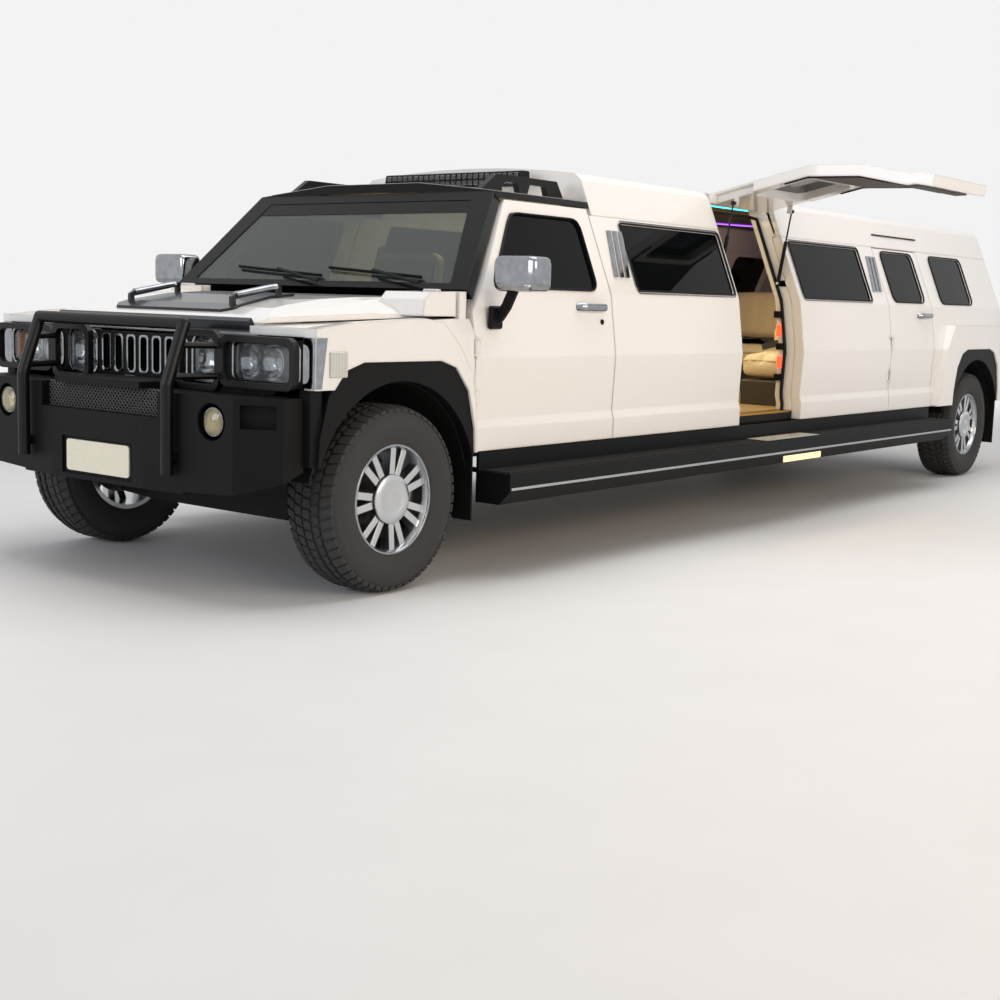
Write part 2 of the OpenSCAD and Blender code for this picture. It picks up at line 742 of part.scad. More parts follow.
// A black panel let on to the bonnet, two grab handles and the deflector along its front edge.
module bonnet_insert() {
    panel_t = 12;
    front = nose_x - 75;
    rear = back(bulkhead_back - 330);
    half = bonnet_half - 340;
    flank = bonnet_half - 260;
    grab_y = (half + flank) / 2 - 10;
    grab_up = 48;
    color("black") {
        intersection() {
            along_y(-bonnet_half, bonnet_half)
                polygon(concat(bonnet_line(-panel_t), reversed(bonnet_line(-seat))));
            linear_extrude(2 * bonnet_rear_z)
                polygon([[rear, -half], [front - 40, -flank], [front, 40 - flank], [front, flank - 40],
                         [front - 40, flank], [rear, half]]);
        }
        both_sides() along_y(grab_y - 9, grab_y + 9) grab_bar(front - 60, rear + 110, grab_up);
        along_y(20 - bonnet_half, bonnet_half - 20)
            polygon([[nose_x + seat, bonnet_front_z - bonnet_t - 8], [nose_x + 26, bonnet_front_z - bonnet_t + 2],
                     [nose_x + 30, bonnet_front_z + 4], [nose_x + 12, bonnet_front_z + 18],
                     [nose_x + seat, bonnet_front_z - 2]]);
    }
}

module front_bumper() {
    x1 = ahead(bumper_ahead);
    x0 = x1 - bumper_deep;
    color("black") difference() {
        translate([0, 0, bumper_low_z]) linear_extrude(bumper_top_z - bumper_low_z)
            polygon([[x0, -bumper_half], [x1 - 150, -bumper_half + 10], [x1 - 40, -bumper_half + 170], [x1, -300],
                     [x1, 300], [x1 - 40, bumper_half - 170], [x1 - 150, bumper_half - 10], [x0, bumper_half]]);
        both_sides() rod_x([x1 - 110, fog_y, fog_z], fog_d + 24, 200);
        block([x1 - 60, -mesh_half, mesh_low], [x1 + 1, mesh_half, mesh_top]);
        block([x1 - 12, -plate_half - 25, plate_low - 13], [x1 + 1, plate_half + 25, plate_low + plate_h + 12]);
        both_sides() rod_x([x1 - bull_foot, bull_half, bull_foot_z], bull_tube_d - 10 + 2 * seat, 2 * bull_foot);
        both_sides() along_y(520, bumper_half + 1)
            polygon([[x0 - 1, bumper_low_z - 1], [x1 + 1, bumper_low_z - 1], [x1 + 1, bumper_low_z],
                     [x0 - 1, bumper_low_z + 110]]);
        both_sides() translate([x1 - 95, bumper_half - 90, fog_z]) rotate(-55)
            block([-70, -45, -18], [70, 120, 72]);
        both_sides() block([x0 - 1, 275, bumper_top_z - 32], [x1 + 1, bumper_half + 1, bumper_top_z + 1]);
    }
}

module number_plate() {
    x = ahead(bumper_ahead) - 12 + seat;
    top = plate_low + plate_h;
    color("ivory") along_x(x, x + 8)
        polygon(rounded([[-plate_half, plate_low], [plate_half, plate_low], [plate_half, top], [-plate_half, top]],
                        14, 3));
}

// A rod of diameter d from point a to point b.
module rod(a, b, d) {
    v = b - a;
    translate(a) rotate([0, acos(v[2] / norm(v)), atan2(v[1], v[0])]) cylinder(d = d, h = norm(v));
}

// A flat loop around a lamp, between two corners.
module lamp_loop(y0, z0, y1, z1) {
    bar = 26;
    along_x(face_x + 42, face_x + 70) difference() {
        polygon(rounded([[y0 - bar, z0 - bar], [y1 + bar, z0 - bar], [y1 + bar, z1 + bar], [y0 - bar, z1 + bar]],
                        44));
        polygon(rounded([[y0, z0], [y1, z0], [y1, z1], [y0, z1]], 30));
    }
}

module bull_bar() {
    x = ahead(bumper_ahead - 30) + bull_tube_d;
    knee = bumper_top_z;
    top = [x - 85, bull_half, bull_top_z - bull_tube_d / 2];
    color("black") both_sides() {
        rod_z([x, bull_half, 500], bull_tube_d, knee - 500);
        translate([x, bull_half, knee]) sphere(d = bull_tube_d);
        rod([x, bull_half, knee], top, bull_tube_d);
        translate(top) sphere(d = bull_tube_d);
        rod_y([top[0], 0, top[2]], bull_tube_d, bull_half);
        rod_x([ahead(bumper_ahead) - bull_foot + seat, bull_half, bull_foot_z], bull_tube_d - 10, bull_foot + 30);
        lamp_loop(lamp_y - 98, lamp_z - 95, lamp_y + 108, lamp_z + 92);
        lamp_loop(lamp_y + 160, lamp_z - 72, bumper_half - 10, lamp_z + 78);
        for (z = [lamp_z - 60, lamp_z + 60])
            rod([face_x + 56, lamp_y + 121, z], [x - 85 * (z - knee) / (top[2] - knee), bull_half, z], 26);
    }
}

slot_half = lamp_y - 118;
slot_pitch = 2 * slot_half / grille_slots;
slot_low = bumper_top_z + 12;
grille_top = bonnet_front_z - bonnet_t - 30;
slot_top = grille_top - 10;
panel_half = waist_half - wing_t - seat;

// A slot or its bright liner, counted from the car's right.
module slot_outline(i, inset) {
    y0 = -slot_half + (i + 0.14) * slot_pitch + inset;
    y1 = -slot_half + (i + 0.86) * slot_pitch - inset;
    polygon(rounded([[y0, slot_low + inset], [y1, slot_low + inset], [y1, slot_top - inset], [y0, slot_top - inset]],
                    16));
}

module inner_lamp_outline(grow) {
    polygon(rounded([[lamp_y - 92 - grow, lamp_z - 88 - grow], [lamp_y + 92 + grow, lamp_z - 88 - grow],
                     [lamp_y + 92 + grow, lamp_z + 88 + grow], [lamp_y - 92 - grow, lamp_z + 88 + grow]], 34 + grow));
}

module outer_lamp_outline(grow) {
    y0 = lamp_y + 150 - grow;
    y1 = panel_half - 24 + grow;
    polygon(rounded([[y0, lamp_z - 68 - grow], [y1, lamp_z - 68 - grow], [y1, lamp_z + 74 + grow],
                     [y0, lamp_z + 74 + grow]], 24 + grow));
}

module grille() {
    color("black") difference() {
        block([nose_x - 30, -panel_half, bumper_top_z + seat], [face_x, panel_half, grille_top]);
        along_x(face_x - 50, face_x + 1) for (i = [0:grille_slots - 1]) slot_outline(i, 0);
        both_sides() along_x(face_x - 50, face_x + 1) {
            inner_lamp_outline(10);
            outer_lamp_outline(10);
        }
    }
}

// Bright bezels, slot liners, corner strips and the slashes beside the windows.
module chrome_trim() {
    color("silver") {
        along_x(face_x - 50 + seat, face_x + 4) for (i = [0:grille_slots - 1]) difference() {
            slot_outline(i, seat);
            slot_outline(i, 9);
        }
        both_sides() {
            along_x(face_x - 50 + seat, face_x + 6) difference() {
                inner_lamp_outline(10 - seat);
                inner_lamp_outline(seat);
            }
            along_x(face_x - 50 + seat, face_x + 6) difference() {
                outer_lamp_outline(10 - seat);
                outer_lamp_outline(seat);
            }
            slashes(side_front_x - 64, 52);
            slashes(side_rear_x + 0.15 * side_span, 0.04 * side_span);
        }
    }
}

// Three leaning bars on the side wall, a pitch apart.
module slashes(x, pitch) {
    low = window_low_z + 58;
    high = window_top_z - 35;
    w = 0.62 * pitch;
    intersection() {
        along_y(roof_edge_half, waist_half) for (i = [0:2])
            translate([x - pitch * i, 0]) polygon([[0, low], [-w, low], [-w - pitch, high], [-pitch, high]]);
        along_x(x - 5 * pitch, x + 1) wall_section(low - 40, gutter_z - 1, -9, -seat);
    }
}

module headlamps() {
    x0 = face_x - 50 + seat;
    color("lightgray") both_sides() {
        along_x(x0, face_x - 14) inner_lamp_outline(0);
        rod_x([face_x - 15, lamp_y, lamp_z], lamp_d, 13);
        along_x(x0, face_x - 4) outer_lamp_outline(0);
        rod_x([ahead(bumper_ahead) - 110 + seat, fog_y, fog_z], fog_d, 86);
    }
}

// Cab
screen_up = cab_edge_z - screen_low_z;
screen_len = norm([screen_lean, screen_up]);
screen_tilt = atan2(screen_lean, screen_up);
screen_foot_x = back(front_door_back - 30);

// Places a shape drawn with X across the car and Y up the windscreen's slope.
module on_screen(depth, t) {
    translate([screen_foot_x, 0, screen_low_z]) rotate([0, -screen_tilt, 0]) translate([-depth - t, 0, 0])
        rotate([90, 0, 90]) linear_extrude(t) children();
}

module screen_outline(inset) {
    low = side_y(screen_low_z) - inset;
    high = side_y(cab_edge_z) - inset;
    v0 = inset / 3;
    v1 = screen_len - inset / 2;
    polygon([[-low, v0], [low, v0], [high, v1], [-high, v1]]);
}

cab_flat = 300;
function cab_roof_z(y) = lookup(y, [[cab_flat, cab_crown_z], [side_y(cab_edge_z), cab_edge_z]]);

module cab_frame() {
    roof_front = screen_foot_x - screen_lean;
    roof_rear = back(raised_back);
    rail_y = side_y(cab_door_top + shut_gap);
    color("black") {
        on_screen(0, pillar_t) difference() {
            screen_outline(0);
            screen_outline(pillar_w);
        }
        along_x(roof_rear, roof_front) polygon(concat(
            [[rail_y, cab_door_top + shut_gap], [side_y(cab_edge_z), cab_edge_z], [cab_flat, cab_crown_z],
             [-cab_flat, cab_crown_z], [-side_y(cab_edge_z), cab_edge_z], [-rail_y, cab_door_top + shut_gap]],
            [[-rail_y + wall_t, cab_door_top + shut_gap], [-cab_flat, cab_crown_z - roof_t],
             [cab_flat, cab_crown_z - roof_t], [rail_y - wall_t, cab_door_top + shut_gap]]));
    }
}

module windscreen() {
    color("dimgray") on_screen(glass_in, glass_t) screen_outline(pillar_w);
}

// The outline of a front door seen from the side, clear of the windscreen pillar.
function pillar_rear(z) = screen_foot_x - (z - screen_low_z) * screen_lean / screen_up
                          - (pillar_t + shut_gap) / cos(screen_tilt);
module front_door_outline() {
    x0 = back(front_door_end);
    x1 = back(front_door_back);
    polygon([[x0, sill_z], [x1, sill_z], [x1, screen_low_z - pillar_t - 30],
             [pillar_rear(cab_door_top), cab_door_top], [x0, cab_door_top]]);
}

module front_window_outline() {
    x0 = back(front_door_end) + 110;
    x1 = pillar_rear(window_low_z) - 70;
    polygon(rounded([[x0, window_low_z - 15], [x1, window_low_z - 15],
                     [pillar_rear(window_top_z) - 60, window_top_z], [x0, window_top_z]], window_r));
}

module front_door(side) {
    hinge_x = back(front_door_back - shut_gap / 2);
    color("white") on_side(side) {
        difference() {
            intersection() {
                wall(back(front_door_end), back(front_door_back), sill_z, cab_door_top);
                along_y(0, 2 * waist_half) front_door_outline();
            }
            along_y(0, 2 * waist_half) front_window_outline();
            at_door_hinges(hinge_x) hinge_pocket();
        }
        at_door_hinges(hinge_x) hinge_moving();
    }
}

module front_glass(side) {
    color("dimgray") on_side(side) intersection() {
        along_y(0, 2 * waist_half) front_window_outline();
        along_x(back(front_door_end), back(front_door_back))
            wall_section(window_low_z - 20, window_top_z + 1, glass_in, glass_in + glass_t);
    }
}

// A pull handle on a door's side, between two stations.
module door_handle(x0, x1) {
    z = belt_z - 65;
    y = side_y(z);
    rod_x([x0, y + 30, z], 24, x1 - x0);
    for (x = [x0, x1 - 44]) block([x, side_y(z - 14) + seat, z - 12], [x + 44, y + 34, z + 12]);
}

module front_chrome(side) {
    x = back(front_door_back + 130);
    z = belt_z + 75;
    y0 = side_y(belt_z) + 70;
    foot_low = belt_z - 170;
    color("silver") on_side(side) {
        along_y(y0, y0 + 230) polygon(rounded([[x - 60, z - 78], [x + 20, z - 78], [x + 75, z - 36], [x + 75, z + 36],
                                               [x + 20, z + 78], [x - 60, z + 78]], 18, 3));
        hull() {
            block([x - 45, side_y(foot_low) + seat, foot_low], [x + 45, side_y(foot_low) + 25, foot_low + 100]);
            block([x - 30, y0 + 10, z - 60], [x + 20, y0 + 50, z - 30]);
        }
        door_handle(back(front_door_end - 65), back(front_door_end - 300));
    }
}

module left_front_door() { front_door(1); }
module right_front_door() { front_door(-1); }
module left_front_glass() { front_glass(1); }
module right_front_glass() { front_glass(-1); }
module left_front_chrome() { front_chrome(1); }
module right_front_chrome() { front_chrome(-1); }

// Limousine section
side_front_x = back(front_door_end + shut_gap);
jet_x0 = back(jet_back + jet_len);
jet_x1 = back(jet_back);
rear_door_x1 = rear_x + rear_door_ahead;
rear_door_x0 = rear_x + rear_door_end;
side_rear_x = rear_door_x1 + shut_gap;
first_window = [jet_x1 + 40, back(window_back)];
side_span = jet_x0 - side_rear_x;
second_window = [side_rear_x + 0.2 * side_span, jet_x0 - 0.054 * side_span];
strut_in = 34;

rear_hinge_x = rear_door_x1 + shut_gap / 2;

// A bracket and pin on the doorway's jamb for a strut's lower eye.
module strut_bracket(x, dir) {
    inner = side_y(strut_pivot_z) - wall_t;
    block([x - 12, strut_pivot_y - 18, strut_pivot_z - 18], [x + 12, inner + 10, strut_pivot_z + 18]);
    rod_x([dir > 0 ? x : x - strut_in - 12, strut_pivot_y, strut_pivot_z], strut_pin_d, strut_in + 12);
}

module left_side() {
    color("white") {
        difference() {
            wall(jet_x1, side_front_x, sill_z, gutter_z);
            window_cut(first_window[0], first_window[1], long_window_r);
        }
        difference() {
            wall(side_rear_x, jet_x0, sill_z, gutter_z);
            window_cut(second_window[0], second_window[1], long_window_r);
            at_door_hinges(rear_hinge_x) hinge_pocket();
        }
        at_door_hinges(rear_hinge_x) hinge_fixed();
        strut_bracket(jet_x1 + 12, -1);
        strut_bracket(jet_x0 - 12, 1);
    }
}

module right_side() {
    color("white") on_side(-1) {
        difference() {
            wall(side_rear_x, side_front_x, sill_z, gutter_z);
            window_cut(first_window[0], first_window[1], long_window_r);
            window_cut(second_window[0], second_window[1], long_window_r);
            at_door_hinges(rear_hinge_x) hinge_pocket();
        }
        at_door_hinges(rear_hinge_x) hinge_fixed();
    }
}

quarter_window = [rear_x - 40, rear_door_x0 - 210];

module side_windows() {
    color("dimgray") both_sides() {
        pane(first_window[0], first_window[1], long_window_r);
        pane(second_window[0], second_window[1], long_window_r);
        pane(quarter_window[0], quarter_window[1]);
    }
}

// Roof section from the gutter over the crown, down to the other gutter, grown inwards by t.
function crown_points(t) = [for (i = [-4:4]) let (y = -i / 4 * (roof_edge_half - 30))
    [y, crown_z - t - (crown_z - roof_edge_z - 14) * pow(i / 4, 2)]];

module raised_section(t) {
    polygon(concat([[side_y(gutter_z) - t, gutter_z], [side_y(roof_edge_z - 20) - t, roof_edge_z - 20 - t / 2]],
                   crown_points(t),
                   [[-side_y(roof_edge_z - 20) + t, roof_edge_z - 20 - t / 2], [-side_y(gutter_z) + t, gutter_z]]));
}

jet_hinge_y = roof_edge_half;
jet_hinge_z = roof_edge_z + 6;
jet_roof_y = roof_edge_half - wall_t - shut_gap;
jet_hinges = [jet_x0 + 150, jet_x1 - 150];

module raised_roof() {
    x0 = tail_x;
    x1 = back(raised_back);
    end_half = roof_edge_half - 112;
    color("white") {
        difference() {
            along_x(x0, x1) raised_section(0);
            along_x(x0 + tail_t, x1 - roof_t) raised_section(roof_t);
            block([x0 - 1, -end_half, gutter_z - 1], [x1 + 1, end_half, gutter_z + roof_t]);
            block([jet_x0, jet_roof_y, gutter_z - 1], [jet_x1, waist_half, crown_z + 1]);
        }
        for (x = jet_hinges) {
            rod_x([x - hinge_h / 2 - lug_h, jet_hinge_y, jet_hinge_z], hinge_pin_d, hinge_h + 2 * lug_h);
            for (low = [x - hinge_h / 2 - lug_h, x + hinge_h / 2 + seat]) {
                rod_x([low, jet_hinge_y, jet_hinge_z], hinge_barrel_d, lug_h - seat);
                block([low, jet_roof_y - 40, jet_hinge_z - 4],
                      [low + lug_h - seat, jet_hinge_y, jet_hinge_z + hinge_barrel_d / 2]);
            }
        }
    }
}

// The gull-wing door, drawn shut and then swung up about its hinge.
module swung_up() {
    translate([0, jet_hinge_y, jet_hinge_z]) rotate([jet_open, 0, 0]) translate([0, -jet_hinge_y, -jet_hinge_z])
        children();
}

jet_door_x0 = jet_x0 + shut_gap;
jet_door_x1 = jet_x1 - shut_gap;
jet_window = [jet_door_x0 + 95, jet_door_x1 - 95];
strut_xs = [jet_x0 + strut_in / 2 + 6, jet_x1 - strut_in / 2 - 6];
strut_eye_w = 22;
strut_pocket_half = 24;
// The struts' upper pin on the door, with the door shut.
door_pin_z = jet_hinge_z - 160;
door_pin_y = side_y(door_pin_z) - wall_t - 31;

module jet_door() {
    color("white") swung_up() {
        difference() {
            wall(jet_door_x0, jet_door_x1, sill_z, roof_edge_z);
            window_cut(jet_window[0], jet_window[1]);
            for (x = jet_hinges) rod_x([x - hinge_h / 2 - lug_h - 4, jet_hinge_y, jet_hinge_z], 2 * hinge_pocket_r,
                                       hinge_h + 2 * lug_h + 8);
            for (x = strut_xs) along_x(x - strut_pocket_half, x + strut_pocket_half)
                wall_section(door_pin_z - 110, door_pin_z + 120, 14, wall_t + 1);
        }
        for (x = jet_hinges) difference() {
            union() {
                rod_x([x - hinge_h / 2, jet_hinge_y, jet_hinge_z], hinge_barrel_d, hinge_h);
                block([x - hinge_h / 2, jet_hinge_y - 12, jet_hinge_z - 3 * hinge_barrel_d / 2],
                      [x + hinge_h / 2, jet_hinge_y, jet_hinge_z]);
            }
            rod_x([x - hinge_h, jet_hinge_y, jet_hinge_z], hinge_pin_d + 2 * slip, 2 * hinge_h);
        }
        for (x = strut_xs) {
            inward = x < (jet_x0 + jet_x1) / 2 ? 1 : -1;
            stud_x = x + inward * (strut_eye_w / 2 + seat);
            plate_x = x + inward * (strut_pocket_half + 5);
            block([plate_x - 5, door_pin_y - 14, door_pin_z - 14],
                  [plate_x + 5, side_y(door_pin_z) - wall_t + 8, door_pin_z + 14]);
            rod_x([min(stud_x, plate_x), door_pin_y, door_pin_z], strut_pin_d - 6, abs(plate_x - stud_x));
        }
    }
}

module jet_glass() {
    color("dimgray") swung_up() pane(jet_window[0], jet_window[1]);
}

// The struts' line at rest, from the lower pin to the door's pin swung up.
pin_arm = [door_pin_y - jet_hinge_y, door_pin_z - jet_hinge_z];
door_pin_rest = [jet_hinge_y + pin_arm[0] * cos(jet_open) - pin_arm[1] * sin(jet_open),
                 jet_hinge_z + pin_arm[0] * sin(jet_open) + pin_arm[1] * cos(jet_open)];
strut_vec = door_pin_rest - [strut_pivot_y, strut_pivot_z];
strut_len = norm(strut_vec);
strut_lean = atan2(-strut_vec[0], strut_vec[1]);

module along_strut(x) {
    translate([x, strut_pivot_y, strut_pivot_z]) rotate([strut_lean, 0, 0]) children();
}

module strut_tubes() {
    color("black") for (x = strut_xs) along_strut(x) difference() {
        union() {
            rod_x([-strut_eye_w / 2, 0, 0], strut_pin_d + 14, strut_eye_w);
            rod_z([0, 0, 0], strut_tube_d, strut_tube_len);
        }
        rod_x([-strut_eye_w, 0, 0], strut_pin_d + 2 * slip, 2 * strut_eye_w);
        rod_z([0, 0, strut_pin_d], strut_rod_d + 2 * slip, strut_tube_len);
    }
}

module strut_rods() {
    socket_d = strut_pin_d + 8;
    rod_in = 120;
    color("silver") for (x = strut_xs) along_strut(x) {
        rod_z([0, 0, strut_tube_len - rod_in], strut_rod_d, strut_len - strut_tube_len + rod_in);
        rod_x([-strut_eye_w / 2, 0, strut_len], socket_d, strut_eye_w);
    }
}

// Rear doors
rear_window = [rear_door_x0 + 110, rear_door_x1 - 100];

module rear_door(side) {
    color("white") on_side(side) {
        difference() {
            wall(rear_door_x0, rear_door_x1, sill_z, gutter_z - shut_gap);
            window_cut(rear_window[0], rear_window[1]);
            at_door_hinges(rear_hinge_x) hinge_pocket();
        }
        at_door_hinges(rear_hinge_x) hinge_moving();
    }
}

module rear_glass(side) {
    color("dimgray") on_side(side) pane(rear_window[0], rear_window[1]);
}

module rear_handle(side) {
    color("silver") on_side(side) door_handle(rear_door_x0 + 45, rear_door_x0 + 260);
}

module left_rear_door() { rear_door(1); }
module right_rear_door() { rear_door(-1); }
module left_rear_glass() { rear_glass(1); }
module right_rear_glass() { rear_glass(-1); }
module left_rear_handle() { rear_handle(1); }
module right_rear_handle() { rear_handle(-1); }

// Rear body: quarter panels, rear wall with the tailgate's opening, arch flares
gate_low = 660;
gate_top = gutter_z - 30;
gate_hinge_levels = [820, 1200];

module rear_wall_section() {
    z = levels(sill_z, gutter_z);
    polygon(concat([for (v = z) [side_y(v), v]], reversed([for (v = z) [-side_y(v), v]])));
}

module rear_body() {
    x1 = rear_door_x0 - shut_gap;
    color("white") {
        difference() {
            union() {
                both_sides() wall(tail_x, x1, sill_z, gutter_z);
                along_x(tail_x, tail_x + tail_t) rear_wall_section();
                both_sides() translate([rear_x, 0, 0])
                    flare([[-arch_r - 90, sill_z], [-arch_r - 60, flare_top_z - 170], [40 - arch_r, flare_top_z],
                           [arch_r + 14, flare_top_z], [arch_r + 134, flare_top_z - 172],
                           [rear_door_end - 20, sill_z]], rear_flare_out);
            }
            block([tail_x - 1, -gate_half, gate_low], [tail_x + tail_t + 1, gate_half, gate_top]);
            both_sides() window_cut(quarter_window[0], quarter_window[1]);
            both_sides() arch_cut(rear_x);
            at_gate_hinges() hinge_pocket();
        }
        at_gate_hinges() hinge_fixed();
    }
}

module tailgate() {
    color("white") {
        difference() {
            block([tail_x, -gate_half + shut_gap, gate_low + shut_gap],
                  [tail_x + tail_t, gate_half - shut_gap, gate_top - shut_gap]);
            along_x(tail_x - 1, tail_x + tail_t + 1) gate_window();
            at_gate_hinges() hinge_pocket();
        }
        at_gate_hinges() hinge_moving();
    }
}

module gate_window() {
    half = gate_half - 130;
    polygon(rounded([[-half, window_low_z - 10], [half, window_low_z - 10], [half - 40, gate_top - 70],
                     [-half + 40, gate_top - 70]], window_r));
}

module tailgate_glass() {
    color("dimgray") along_x(tail_x + glass_in, tail_x + glass_in + glass_t) gate_window();
}

module rear_bumper() {
    color("black") difference() {
        translate([0, 0, sill_z - 80]) linear_extrude(170)
            polygon([[tail_x, -bumper_half], [tail_x - 60, -bumper_half + 10],
                     [tail_x - rear_bumper_deep, -bumper_half + 120], [tail_x - rear_bumper_deep, bumper_half - 120],
                     [tail_x - 60, bumper_half - 10], [tail_x, bumper_half]]);
        block([tail_x - 2 * rear_bumper_deep, -60, 0], [tail_x + 1, 60, rail_low + 85]);
    }
}

module tail_lamps() {
    color("red") both_sides()
        block([tail_x - 28, gate_half + 70, waist_z - 30], [tail_x, gate_half + 230, belt_z - 75]);
}

// Steps, flaps, rack
module running_boards() {
    x1 = back(front_door_back + 45);
    x0 = rear_door_x0 + 10;
    y0 = waist_half - 20;
    skirt_t = 14;
    count = 6;
    color("black") both_sides() {
        along_x(x0, x1) polygon([[y0, step_top_z - step_h], [y0 + step_w - 60, step_top_z - step_h],
                                 [y0 + step_w, step_top_z - step_h + 60], [y0 + step_w, step_top_z],
                                 [y0 + skirt_t, step_top_z], [y0 + skirt_t, sill_z - shut_gap],
                                 [y0, sill_z - shut_gap]]);
        for (i = [0:count - 1]) {
            x = x0 + 100 + i * (x1 - x0 - 200) / (count - 1);
            block([x - 30, rail_y + rail_w / 2, step_top_z - 20], [x + 30, y0 + 10, step_top_z - 5]);
        }
    }
}

module mud_flaps() {
    front = back(front_door_back - shut_gap);
    rear = tail_x + tail_t + 4;
    color("black") both_sides() {
        block([front - 2, waist_half - 270, sill_z - 300], [front + 6, waist_half, sill_z]);
        block([rear, waist_half - 270, sill_z - 335], [rear + 8, waist_half, sill_z]);
    }
}

module roof_rack() {
    x1 = screen_foot_x - screen_lean - 60;
    x0 = back(raised_back) + 25;
    z = cab_edge_z + 80;
    half = rack_tube_d / 2;
    foot_z = cab_roof_z(rack_half - half) + seat;
    mid = (x0 + x1) / 2;
    color("black") both_sides() {
        along_y(rack_half - half, rack_half + half) difference() {
            polygon([[x0, foot_z], [x0 + 60, z + half], [x1 - 120, z + half], [x1, foot_z]]);
            polygon([[x0 + 130, foot_z - 1], [x0 + 150, z - half], [mid - 50, z - half], [mid - 30, foot_z - 1]]);
            polygon([[mid + 30, foot_z - 1], [mid + 50, z - half], [x1 - 190, z - half], [x1 - 130, foot_z - 1]]);
        }
    }
}

module light_bar() {
    x = back(front_door_end - 70);
    z = cab_crown_z + 30;
    color("black") {
        along_y(-light_bar_half, light_bar_half) translate([x, z + 40])
            polygon(rounded([[-30, -38], [34, -38], [42, 0], [34, 38], [-30, 38]], 10, 3));
        both_sides() block([x - 20, 250, cab_crown_z], [x + 20, 290, z + 10]);
    }
}

// Inside
module dashboard() {
    front = back(bulkhead_back + 40);
    column_z = dash_low_z + 130;
    rim_up = 110;
    color("dimgray") {
        block([front - dash_deep, -cabin_half, dash_low_z], [front, cabin_half, cowl_low_z - seat]);
        translate([front - dash_deep, -seat_y, column_z]) rotate([0, -65, 0]) {
            cylinder(d = 50, h = rim_up + 20);
            translate([0, 0, rim_up]) rotate_extrude() translate([steer_d / 2, 0]) circle(d = 30, $fn = 24);
            for (a = [0, 120, 240]) rotate(a) block([0, -15, rim_up - 5], [steer_d / 2, 15, rim_up + 10]);
        }
    }
}

// A cushion box with a back that leans rearward.
module seat_unit(x, y, w, len, back_h) {
    block([x, y - w / 2, floor_z], [x + len, y + w / 2, floor_z + seat_h]);
    translate([x, y - w / 2, floor_z + seat_h]) rotate([0, -12, 0]) cube([seat_back_t, w, back_h]);
}

bench_x = rear_x + arch_r + 194;
bench_front = bench_x + seat_len - 10;

module seats() {
    inner = -cabin_half + 100;
    color("beige") {
        both_sides() seat_unit(back(front_door_end - 10), seat_y, seat_w, seat_len, seat_back_h);
        block([bench_front + 20, inner, floor_z], [back(raised_back + 400), inner + bench_deep, floor_z + seat_h]);
        block([bench_front + 20, inner - 130, floor_z + seat_h],
              [back(raised_back + 400), inner, floor_z + seat_h + 290]);
        seat_unit(bench_x, 0, 2 * cabin_half, seat_len - 10, bench_back_h);
        seat_unit(jet_x0 - seat_len - 200, cabin_half - 10 - side_seat_w / 2, side_seat_w, seat_len, seat_back_h);
    }
}

module bar_cabinet() {
    outer = cabin_half - 20;
    color("saddlebrown")
        block([jet_x1 + 100, outer - bar_deep, floor_z], [back(window_back + 140), outer, floor_z + bar_h]);
}

ladder_frame();
engine_block();
front_suspension();
rear_axle();
floor_pan();
front_bulkhead();
front_wings();
arch_trims();
front_bumper();
number_plate();
bull_bar();
grille();
chrome_trim();
headlamps();
cab_frame();
windscreen();
left_side();
right_side();
side_windows();
raised_roof();
rear_body();
rear_bumper();
tail_lamps();
running_boards();
mud_flaps();
roof_rack();
light_bar();
dashboard();
seats();
bar_cabinet();
left_knuckle();
right_knuckle();
front_left_rim();
front_left_tyre();
front_right_rim();
front_right_tyre();
rear_left_rim();
rear_left_tyre();
rear_right_rim();
rear_right_tyre();
left_front_door();
left_front_glass();
left_front_chrome();
right_front_door();
right_front_glass();
right_front_chrome();
left_rear_door();
left_rear_glass();
left_rear_handle();
right_rear_door();
right_rear_glass();
right_rear_handle();
jet_door();
jet_glass();
strut_tubes();
strut_rods();
bonnet();
bonnet_insert();
tailgate();
tailgate_glass();
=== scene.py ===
"""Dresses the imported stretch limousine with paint, glass, lamps, tyres, trim and upholstery."""

import itertools
import json
import logging
import math
from dataclasses import dataclass
from enum import Enum
from functools import lru_cache

import bmesh
import bpy
import numpy as np
from mathutils import Matrix, Vector

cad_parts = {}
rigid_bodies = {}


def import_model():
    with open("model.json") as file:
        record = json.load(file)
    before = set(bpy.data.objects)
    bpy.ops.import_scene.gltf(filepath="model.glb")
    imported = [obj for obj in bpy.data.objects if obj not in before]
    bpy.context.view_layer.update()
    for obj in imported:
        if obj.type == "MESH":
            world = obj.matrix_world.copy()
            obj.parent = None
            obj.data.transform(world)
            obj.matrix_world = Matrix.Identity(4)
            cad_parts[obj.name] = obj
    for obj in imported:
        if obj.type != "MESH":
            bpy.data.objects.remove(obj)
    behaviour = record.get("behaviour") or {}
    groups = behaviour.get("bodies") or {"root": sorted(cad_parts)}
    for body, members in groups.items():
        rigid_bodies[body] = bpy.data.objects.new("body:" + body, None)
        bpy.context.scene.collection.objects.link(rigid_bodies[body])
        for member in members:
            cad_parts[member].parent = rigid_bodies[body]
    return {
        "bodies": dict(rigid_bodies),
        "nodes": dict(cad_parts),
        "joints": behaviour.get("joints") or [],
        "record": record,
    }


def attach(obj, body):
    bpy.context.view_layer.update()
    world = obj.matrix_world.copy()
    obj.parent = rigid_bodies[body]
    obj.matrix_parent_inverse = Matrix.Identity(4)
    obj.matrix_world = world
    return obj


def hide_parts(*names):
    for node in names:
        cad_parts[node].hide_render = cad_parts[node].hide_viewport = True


LOG = logging.getLogger("limousine")
Array = np.ndarray
Triple = tuple[float, float, float]
BODY = "car_body"
AXLE_X = 3.2
AXLE_Z = 0.388
BRICK_POINTS = 24
